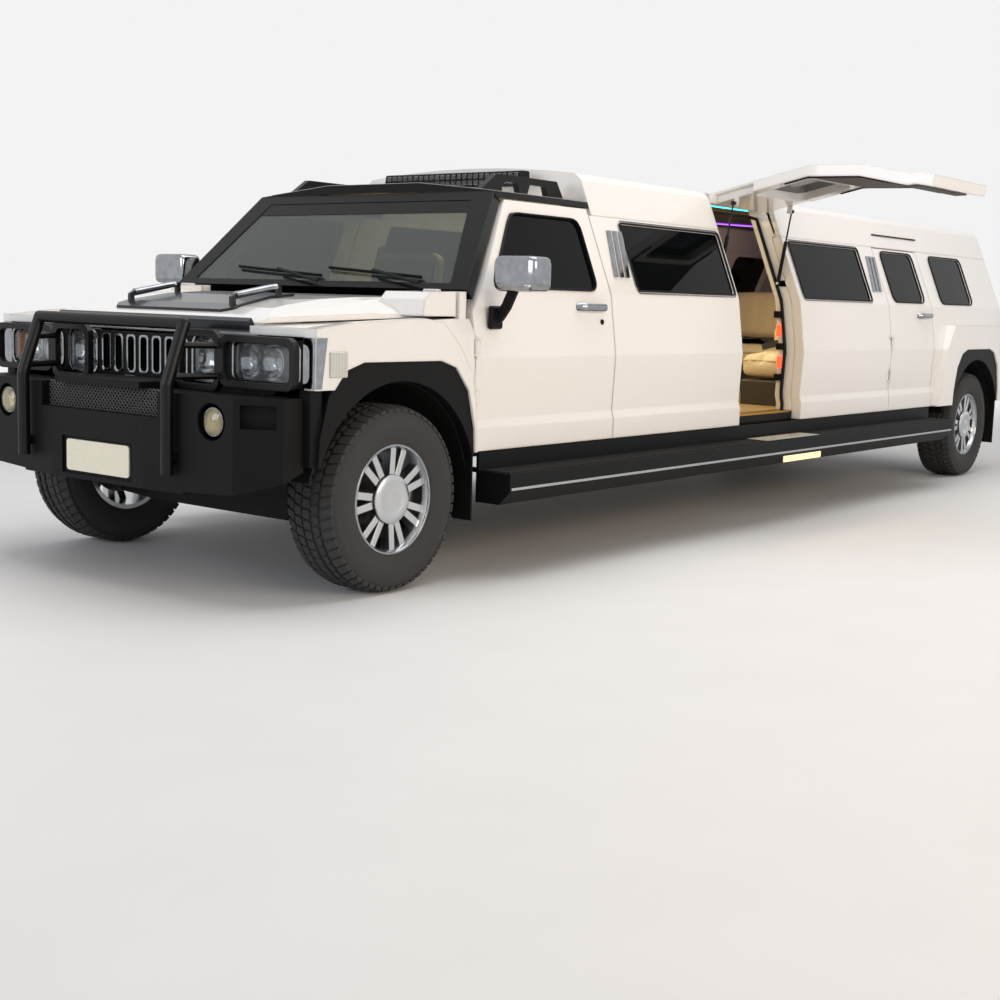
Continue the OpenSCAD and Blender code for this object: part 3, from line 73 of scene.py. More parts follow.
# A wave texture draws one band in about 0.31 of a unit at scale one. With this divisor its bands
# lie about two pitches apart, which is coarse enough to show.
WAVE_DIVISOR = 6.28
RAMP_STOPS = (0.25, 0.75)
BUMP_STRENGTH = 0.5
BEVEL_SAMPLES = 4
COAT_ROUGHNESS = 0.04
MERGE_DISTANCE = 1e-6
NEXT_TO_NOUGHT = 1e-9


class Axis(Enum):
    """The axes that a surface is turned about or a pattern is spread over."""

    X = 0
    Y = 1


class Pattern(Enum):
    """The kinds of surface pattern a finish may carry."""

    GRAIN = "Noise"
    PEBBLE = "Voronoi"
    FLUTES = "Wave"


def linear(code: str) -> tuple[float, ...]:
    """Turns an sRGB hex colour into linear light.

    Args:
        code: the colour, as #rrggbb.

    Returns:
        Red, green, blue and an alpha of one.
    """
    raw = np.array([int(code[i:i + 2], 16) for i in (1, 3, 5)]) / 255
    curve = np.where(raw <= 0.04045, raw / 12.92, ((raw + 0.055) / 1.055) ** 2.4)
    return (*curve.tolist(), 1.0)


def add(tree: bpy.types.NodeTree, kind: str, links: dict | None = None, **values) -> bpy.types.Node:
    """Adds one shader node with its settings and its links.

    Args:
        tree: the node tree that takes the node.
        kind: the node's type without its ShaderNode prefix.
        links: input socket names and the outputs that feed them.
        values: socket values or node properties, with underscores for spaces in a socket's name.

    Returns:
        The new node.
    """
    made = tree.nodes.new("ShaderNode" + kind)
    for key, value in values.items():
        socket = key.replace("_", " ")
        if socket in made.inputs:
            made.inputs[socket].default_value = value
        else:
            setattr(made, key, value)
    for socket, output in (links or {}).items():
        tree.links.new(output, made.inputs[socket])
    return made


@dataclass(frozen=True)
class Finish:
    """One real material: its two shades, gloss, pattern size in millimetres and rounding of edges."""

    label: str
    shade: str
    tint: str
    rough: float
    metal: float = 0.0
    coat: float = 0.0
    clear: float = 0.0
    ior: float = 1.5
    pattern: Pattern = Pattern.GRAIN
    pitch_mm: float = 2.0
    depth_mm: float = 0.05
    edge_mm: float = 0.0
    glow: float = 0.0
    shine: float = 0.5
    stretch: Triple = (1.0, 1.0, 1.0)

    def material(self) -> bpy.types.Material:
        """Builds the shader once: a pattern drives the two shades and the bump over a rounded edge.

        Returns:
            The material, made on the first call.
        """
        known = bpy.data.materials.get(self.label)
        if known:
            return known
        made = bpy.data.materials.new(self.label)
        made.use_nodes = True
        tree = made.node_tree
        tree.nodes.clear()
        place = add(tree, "TexCoord")
        scaled = add(tree, "Mapping", {"Vector": place.outputs["Object"]}, Scale=self.stretch)
        divisor = WAVE_DIVISOR if self.pattern is Pattern.FLUTES else 1.0
        texture = add(tree, "Tex" + self.pattern.value, {"Vector": scaled.outputs["Vector"]},
                      Scale=1000.0 / self.pitch_mm / divisor)
        height = texture.outputs[0]
        ramp = add(tree, "ValToRGB", {"Fac": height})
        for element, stop, colour in zip(ramp.color_ramp.elements, RAMP_STOPS, (self.shade, self.tint)):
            element.position = stop
            element.color = linear(colour)
        bump = add(tree, "Bump", {"Height": height}, Strength=BUMP_STRENGTH, Distance=self.depth_mm / 1000.0)
        if self.edge_mm:
            edge = add(tree, "Bevel", Radius=self.edge_mm / 1000.0, samples=BEVEL_SAMPLES)
            tree.links.new(edge.outputs["Normal"], bump.inputs["Normal"])
        shader = add(tree, "BsdfPrincipled",
                     {"Base Color": ramp.outputs["Color"], "Normal": bump.outputs["Normal"]},
                     Roughness=self.rough, Metallic=self.metal, IOR=self.ior, Coat_Weight=self.coat,
                     Coat_Roughness=COAT_ROUGHNESS, Transmission_Weight=self.clear,
                     Emission_Strength=self.glow, Specular_IOR_Level=self.shine)
        if self.glow:
            shader.inputs["Emission Color"].default_value = linear(self.tint)
        add(tree, "OutputMaterial", {"Surface": shader.outputs["BSDF"]})
        return made


# Two-layer car paint: the clear coat gives sharp reflections over a faint orange peel.
WHITE_PAINT = Finish("white_two_layer_paint", "#ebe8e3", "#efede9", 0.3, coat=0.9, pitch_mm=9,
                     depth_mm=0.01, edge_mm=16)
# The same in black, polished less: a dark skin with a low gleam.
BLACK_PAINT = Finish("black_two_layer_paint", "#070708", "#0c0c0d", 0.25, coat=0.05, ior=1.25, pitch_mm=8,
                     depth_mm=0.02, edge_mm=5)
# Sprayed satin paint: blue-grey, with a soft gloss.
SLATE_PAINT = Finish("slate_satin_paint", "#10141a", "#171c24", 0.3, coat=0.3, pitch_mm=5, depth_mm=0.03,
                     edge_mm=4, shine=0.3)
# Powder coat baked on steel tube: satin, with a fine pebbled skin.
POWDER_COAT = Finish("black_powder_coat", "#060606", "#0c0c0d", 0.34, pitch_mm=3, depth_mm=0.05, edge_mm=4,
                     shine=0.25)
# Brushed-on chassis wax: dull, dark and uneven.
CHASSIS = Finish("black_chassis_wax", "#080808", "#121110", 0.6, pitch_mm=14, depth_mm=0.3, edge_mm=3,
                 shine=0.2)
# Sand-cast iron: grey and grainy, with a broken sheen.
CAST_METAL = Finish("cast_iron", "#4d4c4a", "#63625f", 0.55, metal=0.8, pitch_mm=6, depth_mm=0.2, edge_mm=3)
# Moulded polypropylene: a matt black skin with a leather-like grain.
BLACK_PLASTIC = Finish("grained_polypropylene", "#0a0a0b", "#131415", 0.5, pitch_mm=2.5, depth_mm=0.12,
                       edge_mm=6, ior=1.3, shine=0.3)
# Glass tinted in the melt: nearly black, with clean reflections.
DARK_GLASS = Finish("tinted_safety_glass", "#06080a", "#090c0e", 0.03, clear=0.25, ior=1.18, pitch_mm=60,
                    depth_mm=0.005)
# Laminated glass: a faint green tint that shows what lies behind.
SCREEN_GLASS = Finish("laminated_screen_glass", "#75837f", "#7e8c88", 0.02, clear=0.9, pitch_mm=60,
                      depth_mm=0.005)
# Injection-moulded polycarbonate: clear and colourless over the lamp's inside.
LAMP_GLASS = Finish("clear_polycarbonate", "#eef3f5", "#f6f9fa", 0.03, clear=0.95, ior=1.45, pitch_mm=40,
                    depth_mm=0.01)
# Pressed glass with upright flutes: a warm lens that breaks up what lies behind.
FOG_GLASS = Finish("fluted_fog_glass", "#f4e9c4", "#fff5d8", 0.06, clear=0.85, pattern=Pattern.FLUTES,
                   pitch_mm=9, depth_mm=0.8, stretch=(0.0, 1.0, 0.0))
# Dyed acrylic with moulded ribs: a deep orange that lets some light through.
AMBER = Finish("amber_acrylic", "#c9701a", "#e08a28", 0.1, clear=0.5, pattern=Pattern.FLUTES, pitch_mm=7,
               depth_mm=0.5)
# A lit red lens: an even glow across moulded ribs.
RED_GLOW = Finish("red_courtesy_lens", "#ff3b24", "#ff5436", 0.3, pattern=Pattern.FLUTES, pitch_mm=6,
                  depth_mm=0.4, glow=1.6)
# Red acrylic unlit: a dark ribbed colour under a glossy face.
RED_LENS = Finish("red_acrylic", "#7d0d10", "#9d1518", 0.1, coat=0.6, pattern=Pattern.FLUTES, pitch_mm=8,
                  depth_mm=0.5)
# Chromium plate: almost a mirror, with the faintest ripple.
CHROME = Finish("chromium_plate", "#8d9094", "#a3a6aa", 0.06, metal=1.0, pitch_mm=30, depth_mm=0.01,
                edge_mm=3)
# Machined and lacquered wheel alloy: fine turning marks keep the gloss soft.
ALLOY = Finish("lacquered_alloy", "#b9bbbd", "#c9cbcd", 0.24, metal=1.0, coat=0.3, pitch_mm=1.2,
               depth_mm=0.02, edge_mm=4)
# Aluminium brushed lengthwise: a streaked, silky grey.
ALUMINIUM = Finish("brushed_aluminium", "#a9abac", "#bfc1c2", 0.34, metal=1.0, pitch_mm=1.5, depth_mm=0.03,
                   edge_mm=2, stretch=(0.05, 1.0, 1.0))
# Moulded tyre rubber: matt, near black and slightly dusty.
TYRE_RUBBER = Finish("tyre_rubber", "#090909", "#121212", 0.75, ior=1.2, pitch_mm=5, depth_mm=0.2,
                     edge_mm=2, shine=0.3)
# Extruded seal rubber: dull black with a fine tooth.
RUBBER = Finish("ribbed_seal_rubber", "#080808", "#101010", 0.6, pitch_mm=2, depth_mm=0.1, shine=0.2)
# Pale moulded acrylic: a milky ribbed lens.
MARKER = Finish("clear_marker_acrylic", "#d9dcd6", "#e6e8e2", 0.1, clear=0.35, pattern=Pattern.FLUTES,
                pitch_mm=8, depth_mm=0.5)
# Silvered glass: a clean mirror.
MIRROR_GLASS = Finish("silvered_mirror_glass", "#d5dadd", "#dde2e4", 0.02, metal=1.0, pitch_mm=50,
                      depth_mm=0.002)
# Enamelled sheet: a cream face with a light gloss.
PLATE = Finish("blank_plate_enamel", "#e6dfc6", "#ece6d0", 0.35, coat=0.5, pitch_mm=20, depth_mm=0.01,
               edge_mm=3)
# Tufted pile: matt and mottled, its tufts drawn larger than life so that they show.
CARPET = Finish("tufted_carpet", "#8a7650", "#b09a70", 0.95, pitch_mm=14, depth_mm=2.5)
# Pigmented hide: a pebbled grain with a low sheen, drawn at about twice its size so that it shows.
LEATHER = Finish("cream_leather", "#dccfae", "#ebe0c6", 0.45, pattern=Pattern.PEBBLE, pitch_mm=6,
                 depth_mm=0.3)
# The same hide dyed dark: a dull brown-grey lining.
TRIM_HIDE = Finish("dark_trim_hide", "#3a3532", "#48423e", 0.55, pattern=Pattern.PEBBLE, pitch_mm=6,
                   depth_mm=0.3)
# Twisted sewing thread: matt, a shade darker than the hide.
THREAD = Finish("seam_thread", "#b79f72", "#c9b48a", 0.8, pitch_mm=1.5, depth_mm=0.2)
# Woven belt webbing: dark bands with a slight sheen.
WEBBING = Finish("woven_belt_webbing", "#141414", "#26262a", 0.7, pattern=Pattern.FLUTES, pitch_mm=3,
                 depth_mm=0.3)
# Lacquered walnut veneer: brown figure drawn out along the grain.
VENEER = Finish("walnut_veneer", "#4a2a17", "#7a4b2a", 0.25, coat=0.8, pitch_mm=30, depth_mm=0.02,
                stretch=(0.12, 1.0, 1.0))
# Gilded sheet: a warm yellow metal, softly polished.
BRASS = Finish("gilded_tread_plate", "#b98a35", "#d7aa52", 0.3, metal=1.0, pitch_mm=4, depth_mm=0.1)
# A frosted, ribbed lens lit from behind: a pale yellow glow.
STEP_LIGHT = Finish("frosted_step_lens", "#f6dfa0", "#ffe9b8", 0.4, pattern=Pattern.FLUTES, pitch_mm=14,
                    depth_mm=0.6, glow=0.6)
# Diffuser strips lit from behind: even coloured light.
WARM_LIGHT = Finish("warm_light_strip", "#ffcf7a", "#ffc766", 0.4, glow=3.0)
CYAN_LIGHT = Finish("cyan_light_strip", "#5fe3ee", "#48dcf0", 0.4, glow=2.0)
VIOLET_LIGHT = Finish("violet_light_strip", "#b36bff", "#a45cff", 0.4, glow=2.0)
# Blown crystal: clear, with bright bent edges.
CRYSTAL = Finish("lead_crystal", "#eef2f2", "#f8fbfb", 0.02, clear=0.95, ior=1.52, pitch_mm=20,
                 depth_mm=0.02)
# Painted floor: pale and matt, so that shadows stay soft.
STUDIO_FLOOR = Finish("pale_studio_floor", "#e3e2e0", "#e6e5e3", 0.6, pitch_mm=400, depth_mm=0.01)

SLOT_FINISHES: dict[str, Finish] = {
    "white_paint": WHITE_PAINT,
    "black_paint": BLACK_PAINT,
    "chassis_black": CHASSIS,
    "cast_metal": CAST_METAL,
    "black_plastic": BLACK_PLASTIC,
    "dark_glass": DARK_GLASS,
    "lamp_glass": LAMP_GLASS,
    "red_lens": RED_LENS,
    "alloy": ALLOY,
    "tyre_rubber": TYRE_RUBBER,
    "chrome": CHROME,
    "plate_paint": PLATE,
    "rubber": RUBBER,
    "carpet": CARPET,
    "leather": LEATHER,
    "veneer": VENEER,
}
NODE_FINISHES: dict[str, Finish] = {
    "windscreen": SCREEN_GLASS,
    "bull_bar": POWDER_COAT,
    "roof_rack": POWDER_COAT,
    "strut_rods": POWDER_COAT,
    "bonnet_insert": SLATE_PAINT,
    "floor_pan": CHASSIS,
}


@dataclass
class Surface:
    """Points and faces of a piece before they become a mesh."""

    points: Array
    faces: list

    def moved(self, by: Triple) -> "Surface":
        """Returns the surface shifted by a vector."""
        return Surface(self.points + np.asarray(by, float), self.faces)

    def turned(self, axis: Axis, angle: float, about: Triple = (0, 0, 0)) -> "Surface":
        """Turns the surface about an axis through a point.

        Args:
            axis: the axis' direction.
            angle: radians.
            about: a point on the axis.

        Returns:
            The turned surface.
        """
        turn = np.array(Matrix.Rotation(angle, 3, axis.name))
        return Surface((self.points - about) @ turn.T + about, self.faces)

    def mirrored(self) -> "Surface":
        """Returns the surface's twin on the car's other side."""
        return Surface(self.points * np.array([1.0, -1.0, 1.0]), self.faces)

    def facing_front(self) -> "Surface":
        """Returns a turned surface with its axis swung from Y to X."""
        return Surface(self.points[:, [1, 0, 2]] * np.array([1.0, -1.0, 1.0]), self.faces)

    def standing(self) -> "Surface":
        """Returns a turned surface with its axis swung from Y to Z."""
        return Surface(self.points[:, [0, 2, 1]], self.faces)


class Side(Enum):
    """The car's two sides."""

    LEFT = "left"
    RIGHT = "right"

    def own(self, part: Surface) -> Surface:
        """Returns a part that was made for the left side on this side."""
        return part if self is Side.LEFT else part.mirrored()


def joined(*parts: Surface) -> Surface:
    """Puts several surfaces into one, numbering each one's faces after the last's.

    Args:
        parts: the surfaces.

    Returns:
        One surface.
    """
    starts = np.cumsum([0] + [len(p.points) for p in parts])
    faces = [[i + int(s) for i in f] for p, s in zip(parts, starts) for f in p.faces]
    return Surface(np.vstack([p.points for p in parts]), faces)


def both(part: Surface) -> Surface:
    """Returns a surface together with its mirrored twin."""
    return joined(part, part.mirrored())


def spread(x: Array | float, y: Array | float, z: Array | float) -> Array:
    """Returns points from their coordinates, where a single number serves all of them."""
    return np.stack(np.broadcast_arrays(x, y, z), -1)


def grid(points: Array, wrap_a: bool = False, wrap_b: bool = False, caps: bool = False) -> Surface:
    """Lays quads over a grid of points, each from its two neighbours in both directions.

    Args:
        points: an array of rows by columns by three.
        wrap_a: whether the last row joins the first.
        wrap_b: whether the last column joins the first.
        caps: whether the first and last rows are closed by a flat face.

    Returns:
        The quads as a surface.
    """
    a, b = points.shape[:2]
    i = np.arange(a if wrap_a else a - 1)[:, None]
    j = np.arange(b if wrap_b else b - 1)[None, :]
    corners = (i * b + j, (i + 1) % a * b + j, (i + 1) % a * b + (j + 1) % b, i * b + (j + 1) % b)
    faces = np.stack(np.broadcast_arrays(*corners), -1).reshape(-1, 4).tolist()
    if caps:
        faces += [list(range(b))[::-1], list(range((a - 1) * b, a * b))]
    return Surface(points.reshape(-1, 3), faces)


def drawn(profile: Array, x0: float, x1: float) -> Surface:
    """Returns a closed profile of y and z drawn out along the car between two places."""
    return grid(np.stack([spread(x, *profile.T) for x in (x0, x1)]), False, True, True)


def round_angles(count: int) -> Array:
    """Returns so many angles, evenly spaced round a circle."""
    return np.linspace(0, 2 * np.pi, count, endpoint=False)


def circle(radius: float, count: int = 12) -> Array:
    """Returns a round section of so many points."""
    angle = round_angles(count)
    return radius * np.stack([np.cos(angle), np.sin(angle)], -1)


def flat(width: float, thick: float) -> Array:
    """Returns a flat bar's section with small corner chamfers."""
    w, t = width / 2, thick / 2
    c = 0.25 * min(width, thick)
    return np.array([[w, t - c], [w - c, t], [c - w, t], [-w, t - c],
                     [-w, c - t], [c - w, -t], [w - c, -t], [w, c - t]])


def carry(path: Array, section: Array, up: Triple = (0, 0, 1), closed: bool = False) -> Surface:
    """Carries a section along a path: each path point plus the section along its side and top vectors.

    Args:
        path: points in order.
        section: two offsets a point, first sideways and then upwards.
        up: the direction that the section's top leans to.
        closed: whether the path is a loop.

    Returns:
        The swept skin with closed ends.
    """
    path = np.asarray(path, float)
    ahead = np.roll(path, -1, 0) - np.roll(path, 1, 0) if closed else np.gradient(path, axis=0)
    ahead /= np.linalg.norm(ahead, axis=1, keepdims=True)
    side = np.cross(ahead, up)
    side /= np.linalg.norm(side, axis=1, keepdims=True)
    top = np.cross(side, ahead)
    points = path[:, None] + section[None, :, :1] * side[:, None] + section[None, :, 1:] * top[:, None]
    return grid(points, closed, True, not closed)


def smoothed(points: list, count: int, rounds: int) -> Array:
    """Runs an even path through points and rounds it by averaging each place with its neighbours.

    Args:
        points: the path's knots.
        count: places along the path.
        rounds: how often it is averaged.

    Returns:
        The path's places.
    """
    knots = np.asarray(points, float)
    t = np.linspace(0, len(knots) - 1, count)
    path = np.stack([np.interp(t, np.arange(len(knots)), knots[:, k]) for k in range(3)], -1)
    for _ in range(rounds):
        path[1:-1] = (path[:-2] + 2 * path[1:-1] + path[2:]) / 4
    return path


def lathe(profile: Array, count: int = 48) -> Surface:
    """Turns a profile about the Y axis: each (along, radius) pair becomes a ring.

    Args:
        profile: pairs of distance along the axis and radius.
        count: points in a ring.

    Returns:
        The turned skin.
    """
    along, radius = np.asarray(profile, float).T[:, :, None]
    ring = circle(1.0, count)
    return grid(spread(radius * ring[:, 0], along, radius * ring[:, 1]), False, True)


def brick_points(half: Triple, cut: float) -> Array:
    """Returns a chamfered box's points: each corner drawn back along two of its three edges."""
    signs = np.array(list(itertools.product((-1, 1), repeat=3)))[:, None]
    size = np.asarray(half, float)
    return (signs * np.where(np.eye(3)[None] > 0, size, size - cut)).reshape(-1, 3)


@lru_cache
def brick_faces() -> tuple:
    """Returns the faces of a box with chamfered edges, from the hull of its 24 points."""
    mesh = bpy.data.meshes.new("brick")
    mesh.from_pydata(brick_points((1, 1, 1), 0.3).tolist(), [], [])
    shell = bmesh.new()
    shell.from_mesh(mesh)
    bmesh.ops.convex_hull(shell, input=shell.verts)
    faces = tuple(tuple(v.index for v in f.verts) for f in shell.faces)
    shell.free()
    bpy.data.meshes.remove(mesh)
    return faces


def brick_set(points: Array) -> Surface:
    """Returns many chamfered boxes as one surface, from an array of boxes by 24 points by three."""
    faces = [[i + BRICK_POINTS * k for i in f] for k in range(len(points)) for f in brick_faces()]
    return Surface(points.reshape(-1, 3), faces)


def bricks(centres: Array, half: Triple, cut: float) -> Surface:
    """Repeats one chamfered box at many places.

    Args:
        centres: the boxes' middles.
        half: half of each side.
        cut: the chamfer's width.

    Returns:
        All boxes as one surface.
    """
    centres = np.asarray(centres, float).reshape(-1, 3)
    return brick_set(centres[:, None] + brick_points(half, cut)[None])


def pillow(half: Triple, square: float = 0.3, rows: int = 40) -> Surface:
    """A crowned box: a sphere's angles with their sines and cosines raised to a power below one.

    Args:
        half: half of each side.
        square: the power, nearer nought for a squarer box.
        rows: rows from pole to pole.

    Returns:
        A closed, rounded surface.
    """
    u = np.linspace(-np.pi / 2, np.pi / 2, rows)[:, None]
    v = round_angles(2 * rows)[None]

    def soft(wave: Array, power: float) -> Array:
        """Returns a signed power of a wave, nought where the wave is next to nought."""
        size = np.abs(wave)
        return np.where(size < NEXT_TO_NOUGHT, 0.0, np.sign(wave) * size ** power)

    x = soft(np.cos(u), square) * soft(np.cos(v), square)
    y = soft(np.cos(u), square) * soft(np.sin(v), square)
    z = soft(np.sin(u), square * 1.6)
    return grid(spread(x, y, z) * np.asarray(half, float), False, True)


def rounded(width: float, height: float, radius: float, steps: int = 5) -> Array:
    """Returns a rounded rectangle about the origin as a loop of pairs."""
    turn = np.linspace(0, np.pi / 2, steps)
    arcs = [np.stack([np.cos(turn + q * np.pi / 2), np.sin(turn + q * np.pi / 2)], -1) * radius
            + np.array([(width / 2 - radius) * sx, (height / 2 - radius) * sy])
            for q, (sx, sy) in enumerate(((1, 1), (-1, 1), (-1, -1), (1, -1)))]
    return np.vstack(arcs)


def merged(name: str, surface: Surface) -> bpy.types.Mesh:
    """Returns a mesh of a surface with its doubled points merged and its faces turned outwards."""
    mesh = bpy.data.meshes.new(name)
    mesh.from_pydata(surface.points.tolist(), [], surface.faces)
    shell = bmesh.new()
    shell.from_mesh(mesh)
    bmesh.ops.remove_doubles(shell, verts=shell.verts, dist=MERGE_DISTANCE)
    bmesh.ops.recalc_face_normals(shell, faces=shell.faces)
    shell.to_mesh(mesh)
    shell.free()
    return mesh


def places(mesh: bpy.types.Mesh) -> Array:
    """Returns a mesh's points as rows of three."""
    flat_list = np.empty(3 * len(mesh.vertices))
    mesh.vertices.foreach_get("co", flat_list)
    return flat_list.reshape(-1, 3)


def swollen(surface: Surface, voxel: float, cap: float, pressure: float = 4.0, frames: int = 20,
            resting: float = 0.75) -> Surface:
    """Blows a closed form up as cloth that is held where it rests, and returns the result as a surface.

    Args:
        surface: the form, a little smaller than the cushion.
        voxel: the side of the even faces that it is remade with.
        cap: how far a point may move.
        pressure: the cloth's inner pressure.
        frames: how many frames it swells for.
        resting: the share of its depth below which it is held.
    """
    scene = bpy.context.scene
    blank = bpy.data.objects.new("swelling_form", merged("swelling_form", surface))
    scene.collection.objects.link(blank)
    even = blank.modifiers.new("even_faces", "REMESH")
    even.mode = "VOXEL"
    even.voxel_size = voxel
    mesh = bpy.data.meshes.new_from_object(blank.evaluated_get(bpy.context.evaluated_depsgraph_get()))
    blank.modifiers.clear()
    blank.data = mesh
    start = places(mesh)
    held = blank.vertex_groups.new(name="resting")
    held.add(np.flatnonzero(start[:, 2] < resting * start[:, 2].min()).tolist(), 1.0, "REPLACE")
    cloth = blank.modifiers.new("swelling", "CLOTH")
    cloth.settings.quality = 5
    cloth.settings.use_pressure = True
    cloth.settings.uniform_pressure_force = pressure
    cloth.settings.vertex_group_mass = "resting"
    cloth.settings.effector_weights.gravity = 0.0
    cloth.collision_settings.use_collision = False
    cloth.point_cache.frame_end = frames
    for frame in range(1, frames + 1):
        scene.frame_set(frame)
    step = places(blank.evaluated_get(bpy.context.evaluated_depsgraph_get()).data) - start
    length = np.linalg.norm(step, axis=1, keepdims=True)
    LOG.info("swollen by %.1f mm at most before the cap", 1000 * float(length.max()))
    points = start + step * np.minimum(1.0, cap / np.maximum(length, NEXT_TO_NOUGHT))
    faces = [list(face.vertices) for face in mesh.polygons]
    scene.frame_set(1)
    bpy.data.objects.remove(blank)
    return Surface(points, faces)


def piece(name: str, surface: Surface, finish: Finish, body: str, replaces: tuple[str, ...] = (),
          crease: float = 32.0) -> bpy.types.Object:
    """Turns a surface into a finished object that rides a body.

    Args:
        name: the piece's name.
        surface: its points and faces.
        finish: its material.
        body: the body that carries it.
        replaces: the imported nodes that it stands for.
        crease: the angle in degrees above which an edge stays sharp.

    Returns:
        The object, at the origin.
    """
    mesh = merged(name, surface)
    mesh.polygons.foreach_set("use_smooth", np.ones(len(mesh.polygons), bool))
    mesh.set_sharp_from_angle(angle=math.radians(crease))
    made = bpy.data.objects.new(name, mesh)
    bpy.context.scene.collection.objects.link(made)
    mesh.materials.append(finish.material())
    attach(made, body)
    if replaces:
        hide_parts(*replaces)
    LOG.info("piece %s on %s, %d faces", name, body, len(mesh.polygons))
    return made


@dataclass
class Wheel:
    """A road wheel: a treaded tyre, a bright lip, a wide centre cap and a brake disc."""

    name: str
    x: float
    side: Side
    y: float = 0.855
    tyre_r: float = AXLE_Z
    groove: float = 0.010
    half: float = 0.1325
    bead_r: float = 0.222
    pitches: int = 54
    block_half_h: float = 0.0075
    shoulder_y: float = 0.088
    shoulder_fall: float = 0.42
    # Each row of blocks: its middle, half width, phase in pitches and lean.
    tread_rows: tuple = ((-0.098, 0.024, 0.0, 0.30), (-0.052, 0.017, 0.5, 0.22), (-0.008, 0.019, 0.2, 0.16),
                         (0.044, 0.013, 0.7, 0.22), (0.098, 0.024, 0.5, 0.30))

    def place(self, part: Surface) -> Surface:
        """Returns a part made about the wheel's centre, facing outwards, at its own place."""
        return self.side.own(part.moved((self.x, self.y, AXLE_Z)))

    def carcass(self) -> Surface:
        """The tyre's skin: a closed profile of sidewalls, shoulders and crown turned about the axle."""
        r = self.tyre_r - self.groove
        inset = [0.030, 0.016, 0.010, 0.004, 0.001, 0.003, 0.003, 0.009, 0.020, 0.040]
        radius = [self.bead_r, 0.236, 0.258, 0.290, 0.312, 0.318, 0.334, 0.352, 0.368, r - 0.002]
        wall = np.vstack([np.stack([self.half - np.array(inset), radius], -1), [[0.045, r], [0.0, r]]])
        inner = wall[:-1][::-1] * np.array([-1.0, 1.0])
        return lathe(np.vstack([wall, inner, wall[:1]]), 96)

    def tread(self) -> Surface:
        """Rubber blocks bent round the crown: a block's length becomes an angle and its height a radius."""
        step = 2 * np.pi / self.pitches
        parts = []
        for y, half, phase, lean in self.tread_rows:
            shape = brick_points((0.40 * step * self.tyre_r, half, self.block_half_h), 0.003)
            turns = (np.arange(self.pitches) + phase) * step
            along = shape[None, :, 0] + lean * np.sign(y) * shape[None, :, 1]
            angle = turns[:, None] + along / self.tyre_r
            drop = np.clip(np.abs(y + shape[:, 1]) - self.shoulder_y, 0, None) * self.shoulder_fall
            radius = self.tyre_r - self.block_half_h + shape[:, 2] - drop
            parts.append(brick_set(spread(radius * np.cos(angle), y + shape[:, 1], radius * np.sin(angle))))
        return joined(*parts)

    def lip(self) -> Surface:
        """The rim's bright outer edge: an oval bead turned about the axle."""
        turn = np.linspace(0, 2 * np.pi, 11)
        bead = np.stack([0.1085 + 0.006 * np.cos(turn), 0.2235 + 0.007 * np.sin(turn)], -1)
        return lathe(bead, 96)

    def cap(self) -> Surface:
        """The centre cap: a shallow dome with a raised ring, turned about the axle."""
        return lathe([[0.094, 0.0], [0.1125, 0.0001], [0.1115, 0.030], [0.1085, 0.056], [0.1110, 0.062],
                      [0.1118, 0.074], [0.1100, 0.090], [0.1060, 0.101], [0.1000, 0.104], [0.0940, 0.0]], 56)

    def disc(self) -> Surface:
        """The brake disc: a thin flat ring turned about the axle."""
        profile = [[-0.020, 0.070], [-0.020, 0.150], [-0.034, 0.150], [-0.034, 0.070], [-0.020, 0.070]]
        return lathe(profile, 64)

    def dress(self) -> None:
        """Builds and places the wheel's pieces."""
        body = self.name + "_wheel"
        piece(self.name + "_tread", self.place(joined(self.carcass(), self.tread())), TYRE_RUBBER, body,
              (self.name + "_tyre",))
        piece(self.name + "_lip", self.place(self.lip()), CHROME, body)
        piece(self.name + "_cap", self.place(self.cap()), ALLOY, body)
        piece(self.name + "_disc", self.place(self.disc()), CAST_METAL, body)


